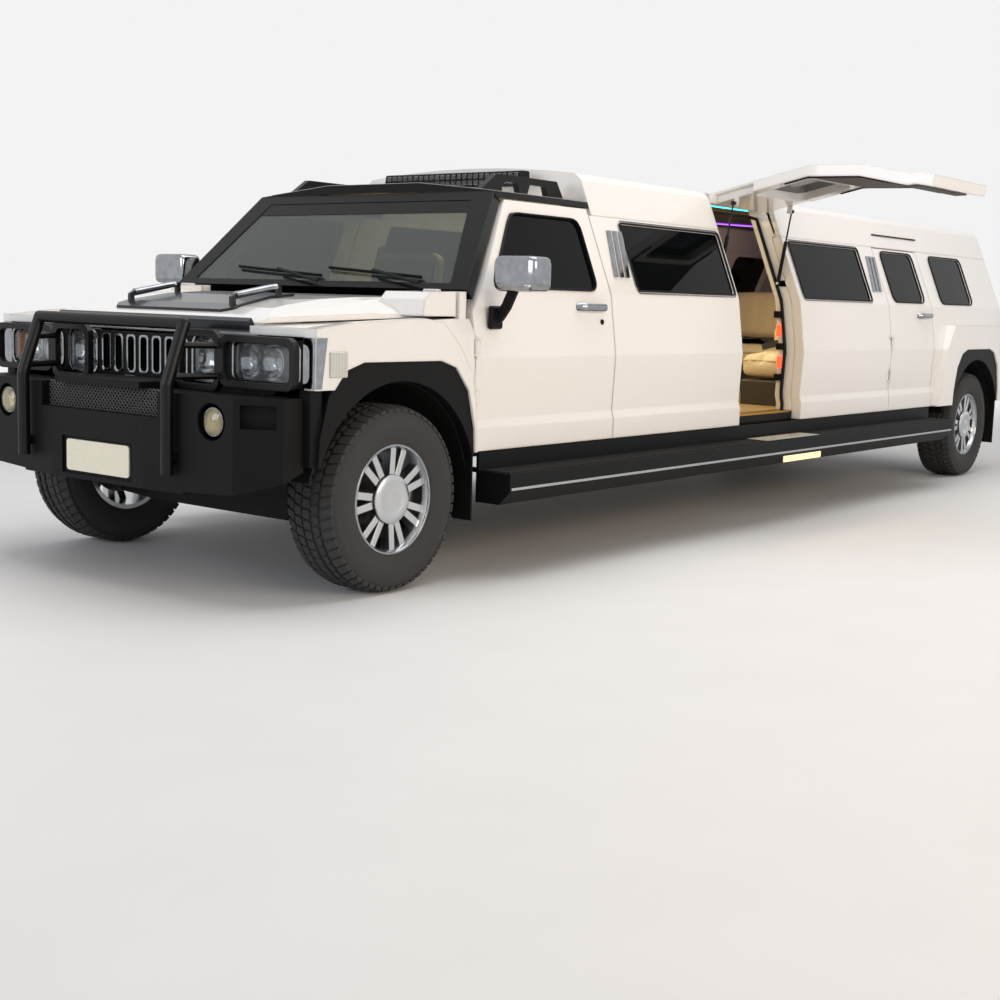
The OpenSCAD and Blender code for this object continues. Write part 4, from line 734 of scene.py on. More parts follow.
@dataclass
class Flank:
    """The long sides: window seals, bright edges, door trims, handles, mirrors and arch liners."""

    crease_z: tuple = (0.555, 0.654, 0.692, 0.960, 1.255, 1.830)
    crease_y: tuple = (0.985, 0.985, 0.973, 0.985, 0.944, 0.712)
    belt_z: float = 1.255
    belt_y: float = 0.944
    lean: float = 0.40348
    low: float = 1.282
    high: float = 1.605
    # Each window: its rear end, front end and corner radius.
    windows: tuple = ((0.390, 1.370, 0.016), (-1.4352, -0.4699, 0.016), (-3.240, -2.640, 0.045))
    door_window: tuple = (-2.320, -1.800, 0.045)
    front_window: tuple = ((1.740, 1.267), (2.553, 1.267), (2.276, 1.605), (1.740, 1.605))
    front_corner: float = 0.06
    handle_z: float = 1.190
    handle_rise: float = 0.036
    handle_sink: float = 0.004
    mirror_at: Triple = (2.590, 1.130, 1.324)
    liner_r: float = 0.4815
    lining_low: float = 0.640
    lining_high: float = 1.235
    lining_in: float = 0.0605
    lining_t: float = 0.006

    def wall_y(self, z: Array) -> Array:
        """Returns the side's half width at heights, straight between its creases."""
        return np.interp(z, self.crease_z, self.crease_y)

    def on_wall(self, flat_points: Array, out: float = 0.0) -> Array:
        """Lays pairs of x and z on the leaning upper wall, stood off by a distance along its normal.

        Args:
            flat_points: pairs of x and z.
            out: the distance.

        Returns:
            Points on the left side.
        """
        away = out / math.hypot(1, self.lean)
        x, z = flat_points.T
        return spread(x, self.belt_y - (z - self.belt_z) * self.lean + away, z + away * self.lean)

    def bar(self, loop: Array, width: float, thick: float, closed: bool = True,
            out: float = 0.002) -> Surface:
        """Returns a flat bar carried along pairs of x and z on the wall."""
        return carry(self.on_wall(loop, out), flat(thick, width), (0, 1, self.lean), closed)

    def frame(self, window: tuple, grow: float, width: float, thick: float) -> Surface:
        """A flat bar carried round a rounded window outline on the wall.

        Args:
            window: its rear end, front end and corner radius.
            grow: how far the bar's middle lies outside the window's edge.
            width: the bar's width.
            thick: its thickness.

        Returns:
            The bar as a closed loop.
        """
        x0, x1, radius = window
        loop = rounded(x1 - x0 + 2 * grow, self.high - self.low + 2 * grow, radius + grow, 7)
        return self.bar(loop + np.array([(x0 + x1) / 2, (self.low + self.high) / 2]), width, thick)

    def seal(self, window: tuple) -> Surface:
        """Returns a window's rubber seal."""
        return self.frame(window, 0.006, 0.016, 0.008)

    def front_seal(self) -> Surface:
        """The front door's window seal: a bar round its four-sided outline with curved corners."""
        corners = np.array(self.front_window)
        before, after = np.roll(corners, 1, 0), np.roll(corners, -1, 0)
        steps = np.linspace(0, 1, 6)[None, :, None]

        def eased(a: Array, b: Array) -> Array:
            """Returns the point where a corner's curve ends on the edge towards another corner."""
            return a + (b - a) * self.front_corner / np.linalg.norm(b - a, axis=1, keepdims=True)

        start, end = eased(corners, before)[:, None], eased(corners, after)[:, None]
        bend = (1 - steps) ** 2 * start + 2 * steps * (1 - steps) * corners[:, None] + steps ** 2 * end
        return self.bar(bend.reshape(-1, 2), 0.018, 0.008)

    def handle(self, x0: float, x1: float) -> Surface:
        """A pull handle: a flattened bar that rises from the panel, runs level and returns to it."""
        y = float(self.wall_y(self.handle_z))
        t = np.linspace(0, 1, 25)
        rise = self.handle_rise * np.clip(np.minimum(t, 1 - t) * 7, 0, 1) ** 0.5
        path = spread(x0 + (x1 - x0) * t, y + rise - self.handle_sink, self.handle_z)
        angle = round_angles(14)
        return carry(path, np.stack([0.011 * np.cos(angle), 0.018 * np.sin(angle)], -1))

    def mirror(self, side: Side) -> None:
        """A door mirror: a bright rounded head on a black arm and foot, with its glass to the rear.

        Args:
            side: the side that it stands on.
        """
        name = side.value + "_mirror_"
        door = side.value + "_front_door"
        head = pillow((0.066, 0.114, 0.076), 0.24, 32).moved(self.mirror_at)
        grip = self.handle(1.700, 1.925)
        piece(name + "head", side.own(joined(head, grip)), CHROME, door, (side.value + "_front_chrome",))
        path = [[2.575, 0.974, 1.125], [2.572, 1.000, 1.140], [2.572, 1.035, 1.185], [2.580, 1.065, 1.232],
                [2.586, 1.085, 1.262]]
        arm = carry(path, flat(0.046, 0.034), (1, 0, 0))
        foot = bricks([(2.580, 0.9815, 1.135)], (0.044, 0.0125, 0.050), 0.008)
        lock = lathe([[-0.002, 0.0], [-0.002, 0.014], [0.004, 0.013], [0.005, 0.006], [0.003, 0.0]], 20)
        lock = lock.moved((1.725, float(self.wall_y(1.12)), 1.12))
        piece(name + "arm", side.own(joined(arm, foot, lock)), BLACK_PLASTIC, door)
        loop = rounded(0.190, 0.122, 0.040, 6)
        levels = ((0.004, 0.92), (0.0, 1.0), (-0.002, 0.96), (-0.0022, 0.02))
        rows = np.stack([spread(x, *(loop * share).T) for x, share in levels])
        glass = grid(rows, False, True, True).moved((2.5235, *self.mirror_at[1:]))
        piece(name + "glass", side.own(glass), MIRROR_GLASS, door)

    def lining(self, x0: float, x1: float) -> Surface:
        """A door's lining: a thin closed panel on the wall's inner profile, drawn along the door."""
        z = np.linspace(self.lining_low, self.lining_high, 20)
        inner = self.wall_y(z) - self.lining_in
        faces = [np.stack([inner, z], -1), np.stack([inner - self.lining_t, z], -1)[::-1]]
        return drawn(np.vstack(faces), x0, x1)

    def trim(self, x0: float, x1: float) -> Surface:
        """A side door's inner trim: its lining, an armrest and a pocket below it."""
        middle, reach = (x0 + x1) / 2, (x1 - x0) / 2
        rest_z, pocket_z = 0.94, 0.74
        rest = pillow((0.62 * reach, 0.030, 0.022), 0.3, 20)
        rest = rest.moved((middle, float(self.wall_y(rest_z)) - 0.096, rest_z))
        pocket = bricks([(middle, float(self.wall_y(pocket_z)) - 0.086, pocket_z)],
                        (0.70 * reach, 0.018, 0.055), 0.010)
        return joined(self.lining(x0, x1), rest, pocket)

    def liner(self, x: float, y0: float, y1: float) -> Surface:
        """A wheel-arch liner: a thin band bent round the axle from front to back."""
        angle = np.linspace(math.radians(12), math.radians(168), 40)
        path = spread(x + self.liner_r * np.cos(angle), (y0 + y1) / 2, AXLE_Z + self.liner_r * np.sin(angle))
        return carry(path, flat(0.005, y1 - y0), (0, 1, 0))

    def dress(self) -> None:
        """Builds the seals, trims, handles and liners of both sides."""
        piece("window_seals", both(joined(*[self.seal(w) for w in self.windows])), RUBBER, BODY)
        edges = [self.frame(w, 0.018, 0.008, 0.006) for w in self.windows[:2]]
        piece("window_edges", both(joined(*edges)), CHROME, BODY)
        x = np.linspace(-2.50, -1.76, 12)
        drip = self.bar(np.stack([x, 0 * x + 1.720], -1), 0.012, 0.008, False, 0.003)
        piece("drip_strips", both(drip), RUBBER, BODY)
        liners = joined(self.liner(AXLE_X, 0.52, 0.955), self.liner(-AXLE_X, 0.62, 0.955))
        piece("arch_liners", both(liners), CHASSIS, BODY)
        for side in Side:
            front, rear = side.value + "_front", side.value + "_rear"
            piece(rear + "_window_seal", side.own(self.seal(self.door_window)), RUBBER, rear + "_door")
            piece(front + "_window_seal", side.own(self.front_seal()), RUBBER, front + "_door")
            for name, span in ((front + "_door", (1.690, 2.630)), (rear + "_door", (-2.370, -1.760))):
                piece(name + "_trim", side.own(self.trim(*span)), TRIM_HIDE, name)
            grip = side.own(self.handle(-2.385, -2.170))
            piece(rear + "_grip", grip, CHROME, rear + "_door", (rear + "_handle",))
            self.mirror(side)


@dataclass
class Front:
    """The nose: bumper mesh, lamp reflectors and lenses, bright corners, wipers and cowl slats."""

    mesh_x: float = 3.900
    mesh_z: float = 0.7685
    mesh_half: float = 0.378
    mesh_rise: float = 0.0535
    lamp_y: float = 0.410
    lamp_z: float = 0.942
    outer_y: float = 0.7435
    outer_z: float = 0.945
    face_x: float = 3.700
    fog_y: float = 0.668
    fog_z: float = 0.718
    corner_x: float = 3.7025
    corner_low: float = 0.856
    corner_high: float = 1.050
    screen_foot: Triple = (2.740, 0.0, 1.250)
    screen_rise: Triple = (-0.4, 0.0, 0.45)
    screen_length: float = 0.602

    def wires(self) -> Surface:
        """Two sets of slanted flat wires that cross into a diamond mesh."""
        starts = np.arange(-0.48, 0.38, 0.022)
        low = np.clip(starts, -self.mesh_half, self.mesh_half)
        high = np.clip(starts + 2 * self.mesh_rise, -self.mesh_half, self.mesh_half)
        kept = high - low > 0.004
        parts = []
        for way in (1, -1):
            for a, b, y in zip(low[kept], high[kept], starts[kept]):
                across = np.array([a, b])
                ends = spread(self.mesh_x, across, self.mesh_z - way * (self.mesh_rise - (across - y)))
                parts.append(carry(ends, flat(0.005, 0.004), (1, 0, 0)))
        return joined(*parts)

    def bowl(self, depth: float, radius: float, flat_r: float = 0.02) -> Surface:
        """A reflector: depth falls with the square of the radius, turned about the lamp's axis."""
        r = np.linspace(flat_r, radius, 12)
        along = -depth * (1 - (r / radius) ** 2)
        rim = [[0.004, radius], [0.004, radius + 0.006], [-0.004, radius + 0.006], [-depth - 0.004, flat_r]]
        return lathe(np.vstack([np.stack([along, r], -1), rim, [[along[0], r[0]]]]), 40).facing_front()

    def bulb(self) -> Surface:
        """A lamp's bulb: a short domed tube turned about the lamp's axis."""
        profile = [[-0.034, 0.0], [-0.034, 0.009], [-0.016, 0.009], [-0.008, 0.006], [-0.006, 0.0]]
        return lathe(profile, 16).facing_front()

    def lens(self, bulge: float, radius: float) -> Surface:
        """A domed lens with a flat back: its height falls with the square of the radius."""
        r = np.linspace(0.0, radius, 10)
        dome = np.stack([bulge * (1 - (r / radius) ** 2), r], -1)
        return lathe(np.vstack([dome, [[-0.004, radius], [-0.004, 0.0]]]), 40).facing_front()

    def pane(self, width: float, height: float, thick: float = 0.006) -> Surface:
        """A cover glass: rounded outlines from edge to crown, bulging towards the front."""
        rows = ((-thick, 1.0), (0.0, 1.0), (0.003, 0.9), (0.005, 0.5), (0.0055, 0.02))
        points = [spread(x, *rounded(width * s, height * s, 0.030 * s).T) for x, s in rows]
        return grid(np.stack(points), False, True, True)

    def corner(self) -> Surface:
        """The bright corner: a thin strip bent round the wing's front edge, narrower towards its foot."""
        x = np.array([3.7025, 3.7028, 3.7022, 3.6975, 3.680, 3.640])
        y = np.array([0.945, 0.985, 1.004, 1.0125, 1.0135, 1.0135])
        z = np.linspace(self.corner_low, self.corner_high, 8)[:, None]
        share = np.array([1.0, 1.0, 1.0, 1.0, 0.9, 0.55])
        growth = np.array([0.0, 0.0, 0.0, 0.0, 0.0, 0.45])
        cut = share + growth * (z - self.corner_low) / (self.corner_high - self.corner_low)
        outer = spread(self.corner_x + (x - self.corner_x) * cut, y, z)
        inner = outer - np.array([0.0016, 0.0016, 0.0])
        return grid(np.concatenate([outer, inner[:, ::-1]], 1), False, True, True)

    def sleeve(self) -> Surface:
        """A bright sleeve on a bonnet handle: a tube along its grip with rolled ends."""
        t = np.linspace(0, 1, 16)
        x = 3.268 + 0.224 * t
        z = np.interp(x, [2.8, 3.05, 3.3, 3.5, 3.6], [1.215, 1.2066, 1.1886, 1.1526, 1.1226]) + 0.048
        size = np.where((t < 0.05) | (t > 0.95), 0.0135, 0.0115)
        angle = round_angles(12)
        ring = spread(0.0, 1.25 * np.cos(angle), 1.05 * np.sin(angle))
        return grid(spread(x, 0.330, z)[:, None] + size[:, None, None] * ring[None], False, True, True)

    def screen_face(self) -> Array:
        """Returns the windscreen's outward direction."""
        return np.array([self.screen_rise[2], 0.0, -self.screen_rise[0]]) / self.screen_length

    def on_screen(self, across: Array, up: Array, out: float) -> Array:
        """Places points on the windscreen from their distance across, up its slope and off its face."""
        slope = np.array(self.screen_rise) / self.screen_length
        return (np.array(self.screen_foot) + up[:, None] * slope + out * self.screen_face()
                + spread(0.0, across, 0.0))

    def band(self) -> Surface:
        """The dark band along the windscreen's top: a thin strip as wide as the glass at each height."""
        up = np.array([0.470, 0.546])
        half = 0.833 - (up - 0.0367) * 0.3534
        across = np.linspace(-1, 1, 12)
        top = np.stack([self.on_screen(across * h, 0 * across + v, -0.0022) for v, h in zip(up, half)])
        under = top - self.screen_face() * 0.0012
        return grid(np.concatenate([top, under[::-1]], 0), True, False)

    def wiper(self, pivot: float) -> Surface:
        """A wiper: a straight blade along the glass and an arm from its pivot to the blade's middle."""
        t = np.linspace(0, 1, 14)
        blade = self.on_screen(pivot - 0.60 * t, 0.060 + 0.050 * t, 0.010)
        t = np.linspace(0, 1, 8)
        arm = self.on_screen(pivot + 0.02 - 0.32 * t, 0.012 + 0.073 * t, 0.026)
        lean = (0.7, 0, 0.7)
        return joined(carry(blade, flat(0.010, 0.016), lean), carry(arm, flat(0.016, 0.008), lean))

    def lamps(self) -> None:
        """Builds the lamps' insides, covers and lenses."""
        inner = (self.lamp_y, self.lamp_z)
        outer = (self.outer_y, self.outer_z)
        near, far, out = ((self.face_x - 0.012, y, z) for y, z in
                          (inner, (self.outer_y - 0.10, self.outer_z), (self.outer_y + 0.03, self.outer_z)))
        bowls = [self.bowl(0.034, 0.070).moved(near), self.bowl(0.030, 0.056).moved(far),
                 self.bowl(0.030, 0.056).moved(out),
                 self.bowl(0.040, 0.050).moved((3.900, self.fog_y, self.fog_z))]
        piece("lamp_reflectors", both(joined(*bowls)), CHROME, BODY)
        piece("lamp_bulbs", both(joined(*[self.bulb().moved(s) for s in (near, far, out)])), CRYSTAL, BODY)
        covers = [self.pane(0.182, 0.174).moved((self.face_x - 0.001, *inner)),
                  self.pane(0.360, 0.138).moved((self.face_x - 0.001, *outer))]
        piece("lamp_covers", both(joined(*covers)), LAMP_GLASS, BODY, ("headlamps",))
        backs = [bricks([(self.face_x - 0.046, *inner)], (0.003, 0.090, 0.086), 0.002),
                 bricks([(self.face_x - 0.046, *outer)], (0.003, 0.176, 0.068), 0.002)]
        piece("lamp_housings", both(joined(*backs)), ALUMINIUM, BODY)
        signal = bricks([(self.face_x - 0.024, 0.884, self.outer_z)], (0.012, 0.032, 0.055), 0.006)
        piece("turn_signals", both(signal), AMBER, BODY)
        fog = self.lens(0.016, 0.052).moved((3.905, self.fog_y, self.fog_z))
        piece("fog_lenses", both(fog), FOG_GLASS, BODY)
        marker = bricks([(3.580, 1.0135, 0.9475)], (0.048, 0.006, 0.050), 0.004)
        piece("side_markers", both(marker), MARKER, BODY)

    def dress(self) -> None:
        """Builds the nose's pieces."""
        piece("bumper_mesh", self.wires(), CAST_METAL, BODY)
        self.lamps()
        piece("bright_corners", both(self.corner()), CHROME, BODY)
        piece("screen_band", self.band(), BLACK_PAINT, BODY)
        piece("grab_sleeves", both(self.sleeve()), CHROME, "bonnet", crease=80)
        piece("wipers", joined(self.wiper(0.66), self.wiper(0.04)), BLACK_PLASTIC, BODY)
        slats = spread(2.755, np.linspace(-0.60, 0.60, 46), 1.212)
        piece("cowl_slats", bricks(slats, (0.030, 0.005, 0.003), 0.001), BLACK_PLASTIC, BODY)


@dataclass
class EngineBay:
    """What the raised bonnet shows: intake runners, a ribbed engine cover, an oil cap and hoses."""

    top_z: float = 0.985
    front_x: float = 3.520
    rear_x: float = 2.880
    cover_y: float = -0.195

    def runner(self, x: float) -> Surface:
        """An intake runner: a tube that rises beside the engine, bends over and falls on the other side."""
        turn = np.linspace(0, np.pi, 14)
        path = spread(x, 0.13 * np.cos(turn) + 0.02, self.top_z + 0.004 + 0.034 * np.sin(turn))
        return carry(path, circle(0.016, 12), (1, 0, 0))

    def hose(self, points: list) -> Surface:
        """A coolant hose: a round tube along a smoothed path."""
        return carry(smoothed(points, 30, 6), circle(0.019, 14), (0.3, 0.2, 1))

    def dress(self) -> None:
        """Builds the bay's pieces on top of the engine."""
        x = np.linspace(self.rear_x + 0.10, self.front_x - 0.16, 5)
        piece("intake_runners", joined(*[self.runner(v) for v in x]), ALUMINIUM, BODY, crease=60)
        middle = (self.front_x + self.rear_x) / 2
        cover = bricks([(middle, self.cover_y, self.top_z + 0.012)], (0.27, 0.055, 0.012), 0.006)
        ribs = spread(np.linspace(middle - 0.23, middle + 0.23, 12), self.cover_y, self.top_z + 0.026)
        piece("engine_cover", joined(cover, bricks(ribs, (0.006, 0.046, 0.003), 0.0015)), BLACK_PLASTIC, BODY)
        cap = lathe([[0.0, 0.0], [0.0, 0.034], [0.014, 0.034], [0.018, 0.030], [0.018, 0.012], [0.026, 0.010],
                     [0.026, 0.0]], 24)
        cap = cap.standing().moved((middle + 0.19, 0.215, self.top_z + 0.0005))
        piece("oil_cap", cap, CAST_METAL, BODY)
        long_run = [(3.50, 0.22, 0.99), (3.40, 0.23, 1.01), (3.22, 0.235, 1.008), (3.05, 0.22, 1.006)]
        cross_run = [(3.50, -0.10, 0.995), (3.46, 0.0, 1.012), (3.47, 0.12, 1.010), (3.50, 0.17, 0.995)]
        piece("coolant_hoses", joined(self.hose(long_run), self.hose(cross_run)), RUBBER, BODY, crease=60)


@dataclass
class Roof:
    """The roofs: the white cab skin, the lamp cells of the light bar and its cooling fins."""

    front_x: float = 2.330
    rear_x: float = 1.606
    crown_z: float = 1.7465
    flat_half: float = 0.30
    edge_fall: float = 0.0969

    def skin(self) -> Surface:
        """A thin skin over the cab roof: flat in the middle and bent down at both edges."""
        y = np.array([-0.70, -0.64, -0.50, -0.30, 0.0, 0.30, 0.50, 0.64, 0.70])
        z = self.crown_z - np.clip(np.abs(y) - self.flat_half, 0, None) * self.edge_fall
        top = np.stack([y, z + 0.003], -1)
        return drawn(np.vstack([top, (top - [0, 0.002])[::-1]]), self.rear_x, self.front_x)

    def cells(self) -> Surface:
        """Two rows of small square lenses along the light bar."""
        y = np.linspace(-0.425, 0.425, 24)
        rows = [spread(1.741, y, z) for z in (1.799, 1.831)]
        return bricks(np.vstack(rows), (0.004, 0.014, 0.012), 0.003)

    def dress(self) -> None:
        """Builds the roof's pieces."""
        piece("cab_roof_skin", self.skin(), WHITE_PAINT, BODY)
        piece("light_cells", self.cells(), LAMP_GLASS, BODY)
        fins = spread(1.664, np.linspace(-0.43, 0.43, 30), 1.815)
        piece("light_bar_fins", bricks(fins, (0.007, 0.004, 0.030), 0.002), ALUMINIUM, BODY)


@dataclass
class Steps:
    """The running boards: ribbed treads, a bright edge, and a plate and a lamp below the doorway."""

    rear_x: float = -2.41
    front_x: float = 2.655
    top_z: float = 0.470
    inner_y: float = 0.990
    outer_y: float = 1.145
    plate_y: float = 1.068

    def dress(self) -> None:
        """Builds the boards' pieces."""
        x = np.array([self.rear_x, self.front_x])
        ribs = [carry(spread(x, y, self.top_z + 0.002), flat(0.010, 0.006))
                for y in np.linspace(self.inner_y + 0.01, self.outer_y - 0.01, 7)]
        piece("step_ribs", both(joined(*ribs)), RUBBER, BODY)
        trim = carry(spread(x, 1.1555, 0.402), flat(0.004, 0.012))
        piece("step_edges", both(trim), ALUMINIUM, BODY)
        plate = bricks([(-0.030, self.plate_y, self.top_z + 0.0075)], (0.320, 0.070, 0.0022), 0.001)
        bars = spread(np.linspace(-0.33, 0.27, 26), self.plate_y, self.top_z + 0.010)
        piece("step_plate", joined(plate, bricks(bars, (0.007, 0.060, 0.0015), 0.0006)), ALUMINIUM, BODY)
        lamp = bricks([(-0.110, 1.1565, 0.364)], (0.235, 0.004, 0.018), 0.003)
        piece("step_lamp", lamp, STEP_LIGHT, BODY)


@dataclass
class Doorway:
    """The gull-wing doorway: its seal, casings, latches, lamps and sill, and the door's lining and seal."""

    wall: Flank
    rear_x: float = -0.400
    front_x: float = 0.350
    sill_z: float = 0.602
    casing_half: float = 0.004
    jamb_depth: float = 0.120
    hinge: Triple = (0.0, 0.712, 1.836)
    opened: float = 81.0

    def inside(self, x: float, z: Array, depth: Array | float) -> Array:
        """Returns points at heights, a depth inside the wall."""
        return spread(x, self.wall.wall_y(z) - depth, z)

    def seal(self) -> Surface:
        """A rubber tube up the rear jamb, along the head and down the front jamb."""
        z = np.linspace(self.sill_z, 1.740, 30)
        rear = self.inside(self.rear_x + 0.010, z, self.jamb_depth)
        front = self.inside(self.front_x - 0.010, z, self.jamb_depth)[::-1]
        head = np.linspace(rear[-1] + [0.03, -0.035, 0.012], front[0] + [-0.03, -0.035, 0.012], 12)
        return carry(np.vstack([rear, head, front]), circle(0.010, 10), (0, 1, 0.3))

    def casing(self, x: float) -> Surface:
        """A jamb's casing: a thin painted upright that carries the wall's edge inwards to the seal."""
        z = np.linspace(self.sill_z, 1.795, 28)
        edge = np.where(z > 1.63, 0.030, 0.061)
        half, deep = self.casing_half, 0.165
        corners = ((half, edge), (half, deep), (-half, deep), (-half, edge))
        return grid(np.stack([self.inside(x + d, z, off) for d, off in corners], 1), False, True, True)

    def door_seal(self) -> Surface:
        """Two thin rubber tubes down the shut door's inner edges."""
        z = np.linspace(0.585, 1.640, 26)[5:20]
        rear = self.inside(self.rear_x + 0.024, z, 0.062)
        front = self.inside(self.front_x - 0.024, z[::-1], 0.062)
        return joined(*[carry(edge, circle(0.006, 8), (1, 0, 0)) for edge in (rear, front)])

    def swung(self, part: Surface) -> Surface:
        """Returns a part of the shut door swung up with it."""
        return part.turned(Axis.X, math.radians(self.opened), self.hinge)

    def dress(self) -> None:
        """Builds the doorway's pieces, with the door's own swung up as it stands."""
        piece("doorway_seal", self.seal(), RUBBER, BODY, crease=80)
        ends = (self.rear_x - self.casing_half, self.front_x + self.casing_half)
        piece("doorway_casings", joined(*[self.casing(x) for x in ends]), WHITE_PAINT, BODY)
        latches = self.inside(self.rear_x + 0.016, np.array([1.175, 0.985, 0.800]), 0.148)
        piece("doorway_latches", bricks(latches, (0.014, 0.022, 0.020), 0.004), BLACK_PLASTIC, BODY)
        lamps = self.inside(self.rear_x + 0.010, np.array([1.080, 0.890]), 0.150)
        piece("courtesy_lamps", bricks(lamps, (0.008, 0.016, 0.034), 0.004), RED_GLOW, BODY)
        middle = (self.rear_x + self.front_x) / 2
        sill = bricks([(middle, 0.865, 0.5985)], (0.362, 0.056, 0.003), 0.0015)
        ribs = spread(middle, np.linspace(0.825, 0.905, 6), self.sill_z)
        piece("doorway_sill", joined(sill, bricks(ribs, (0.350, 0.0035, 0.0015), 0.0007)), BRASS, BODY)
        lining = self.wall.lining(self.rear_x + 0.045, self.front_x - 0.045)
        piece("door_lining", self.swung(lining), TRIM_HIDE, "jet_door")
        piece("door_seal", self.swung(self.door_seal()), RUBBER, "jet_door", crease=80)


@dataclass
class Tail:
    """The rear end: lamp ribs, a gate handle and lining, step pads, and a brake strip in the roof's end."""

    x: float = -3.810
    gate_t: float = 0.06
    lamp_y: float = 0.790
    lining_z: float = 0.930
    infill_z: float = 1.655

    def dress(self) -> None:
        """Builds the rear pieces."""
        lamp_x = self.x - 0.0285
        ribs = bricks(spread(lamp_x, self.lamp_y, np.linspace(0.945, 1.165, 5)), (0.002, 0.078, 0.003), 0.001)
        loop = rounded(0.152, 0.242, 0.020, 7) + [self.lamp_y, 1.055]
        rim = carry(spread(lamp_x, *loop.T), flat(0.004, 0.006), (1, 0, 0), True)
        piece("tail_lamp_rims", both(joined(ribs, rim)), CHROME, BODY)
        t = np.linspace(0, 1, 15)
        out = 0.030 * np.clip(np.minimum(t, 1 - t) * 6, 0, 1) ** 0.5
        grip = carry(spread(self.x - out + 0.004, -0.52, 1.02 + 0.20 * t), circle(0.010, 10), (0, 1, 0))
        piece("gate_handle", grip, CHROME, "tailgate", crease=80)
        pads = spread(self.x - 0.075, np.linspace(-0.72, 0.72, 9), 0.6465)
        piece("bumper_pads", bricks(pads, (0.050, 0.070, 0.003), 0.0015), RUBBER, BODY)
        inner_x = self.x + self.gate_t
        panel = bricks([(inner_x + 0.0040, 0.0, self.lining_z)], (0.0035, 0.540, 0.210), 0.003)
        ribs = spread(inner_x + 0.0085, np.linspace(-0.40, 0.40, 5), self.lining_z)
        lining = joined(panel, bricks(ribs, (0.003, 0.030, 0.170), 0.002))
        piece("gate_lining", lining, TRIM_HIDE, "tailgate")
        infill = bricks([(self.x + self.gate_t / 2, 0.0, self.infill_z)],
                        (self.gate_t / 2 - 0.003, 0.599, 0.0195), 0.004)
        piece("roof_end_infill", infill, WHITE_PAINT, BODY)
        strip = bricks([(self.x + 0.004, 0.0, self.infill_z)], (0.006, 0.260, 0.010), 0.003)
        piece("brake_strip", strip, RED_LENS, BODY)


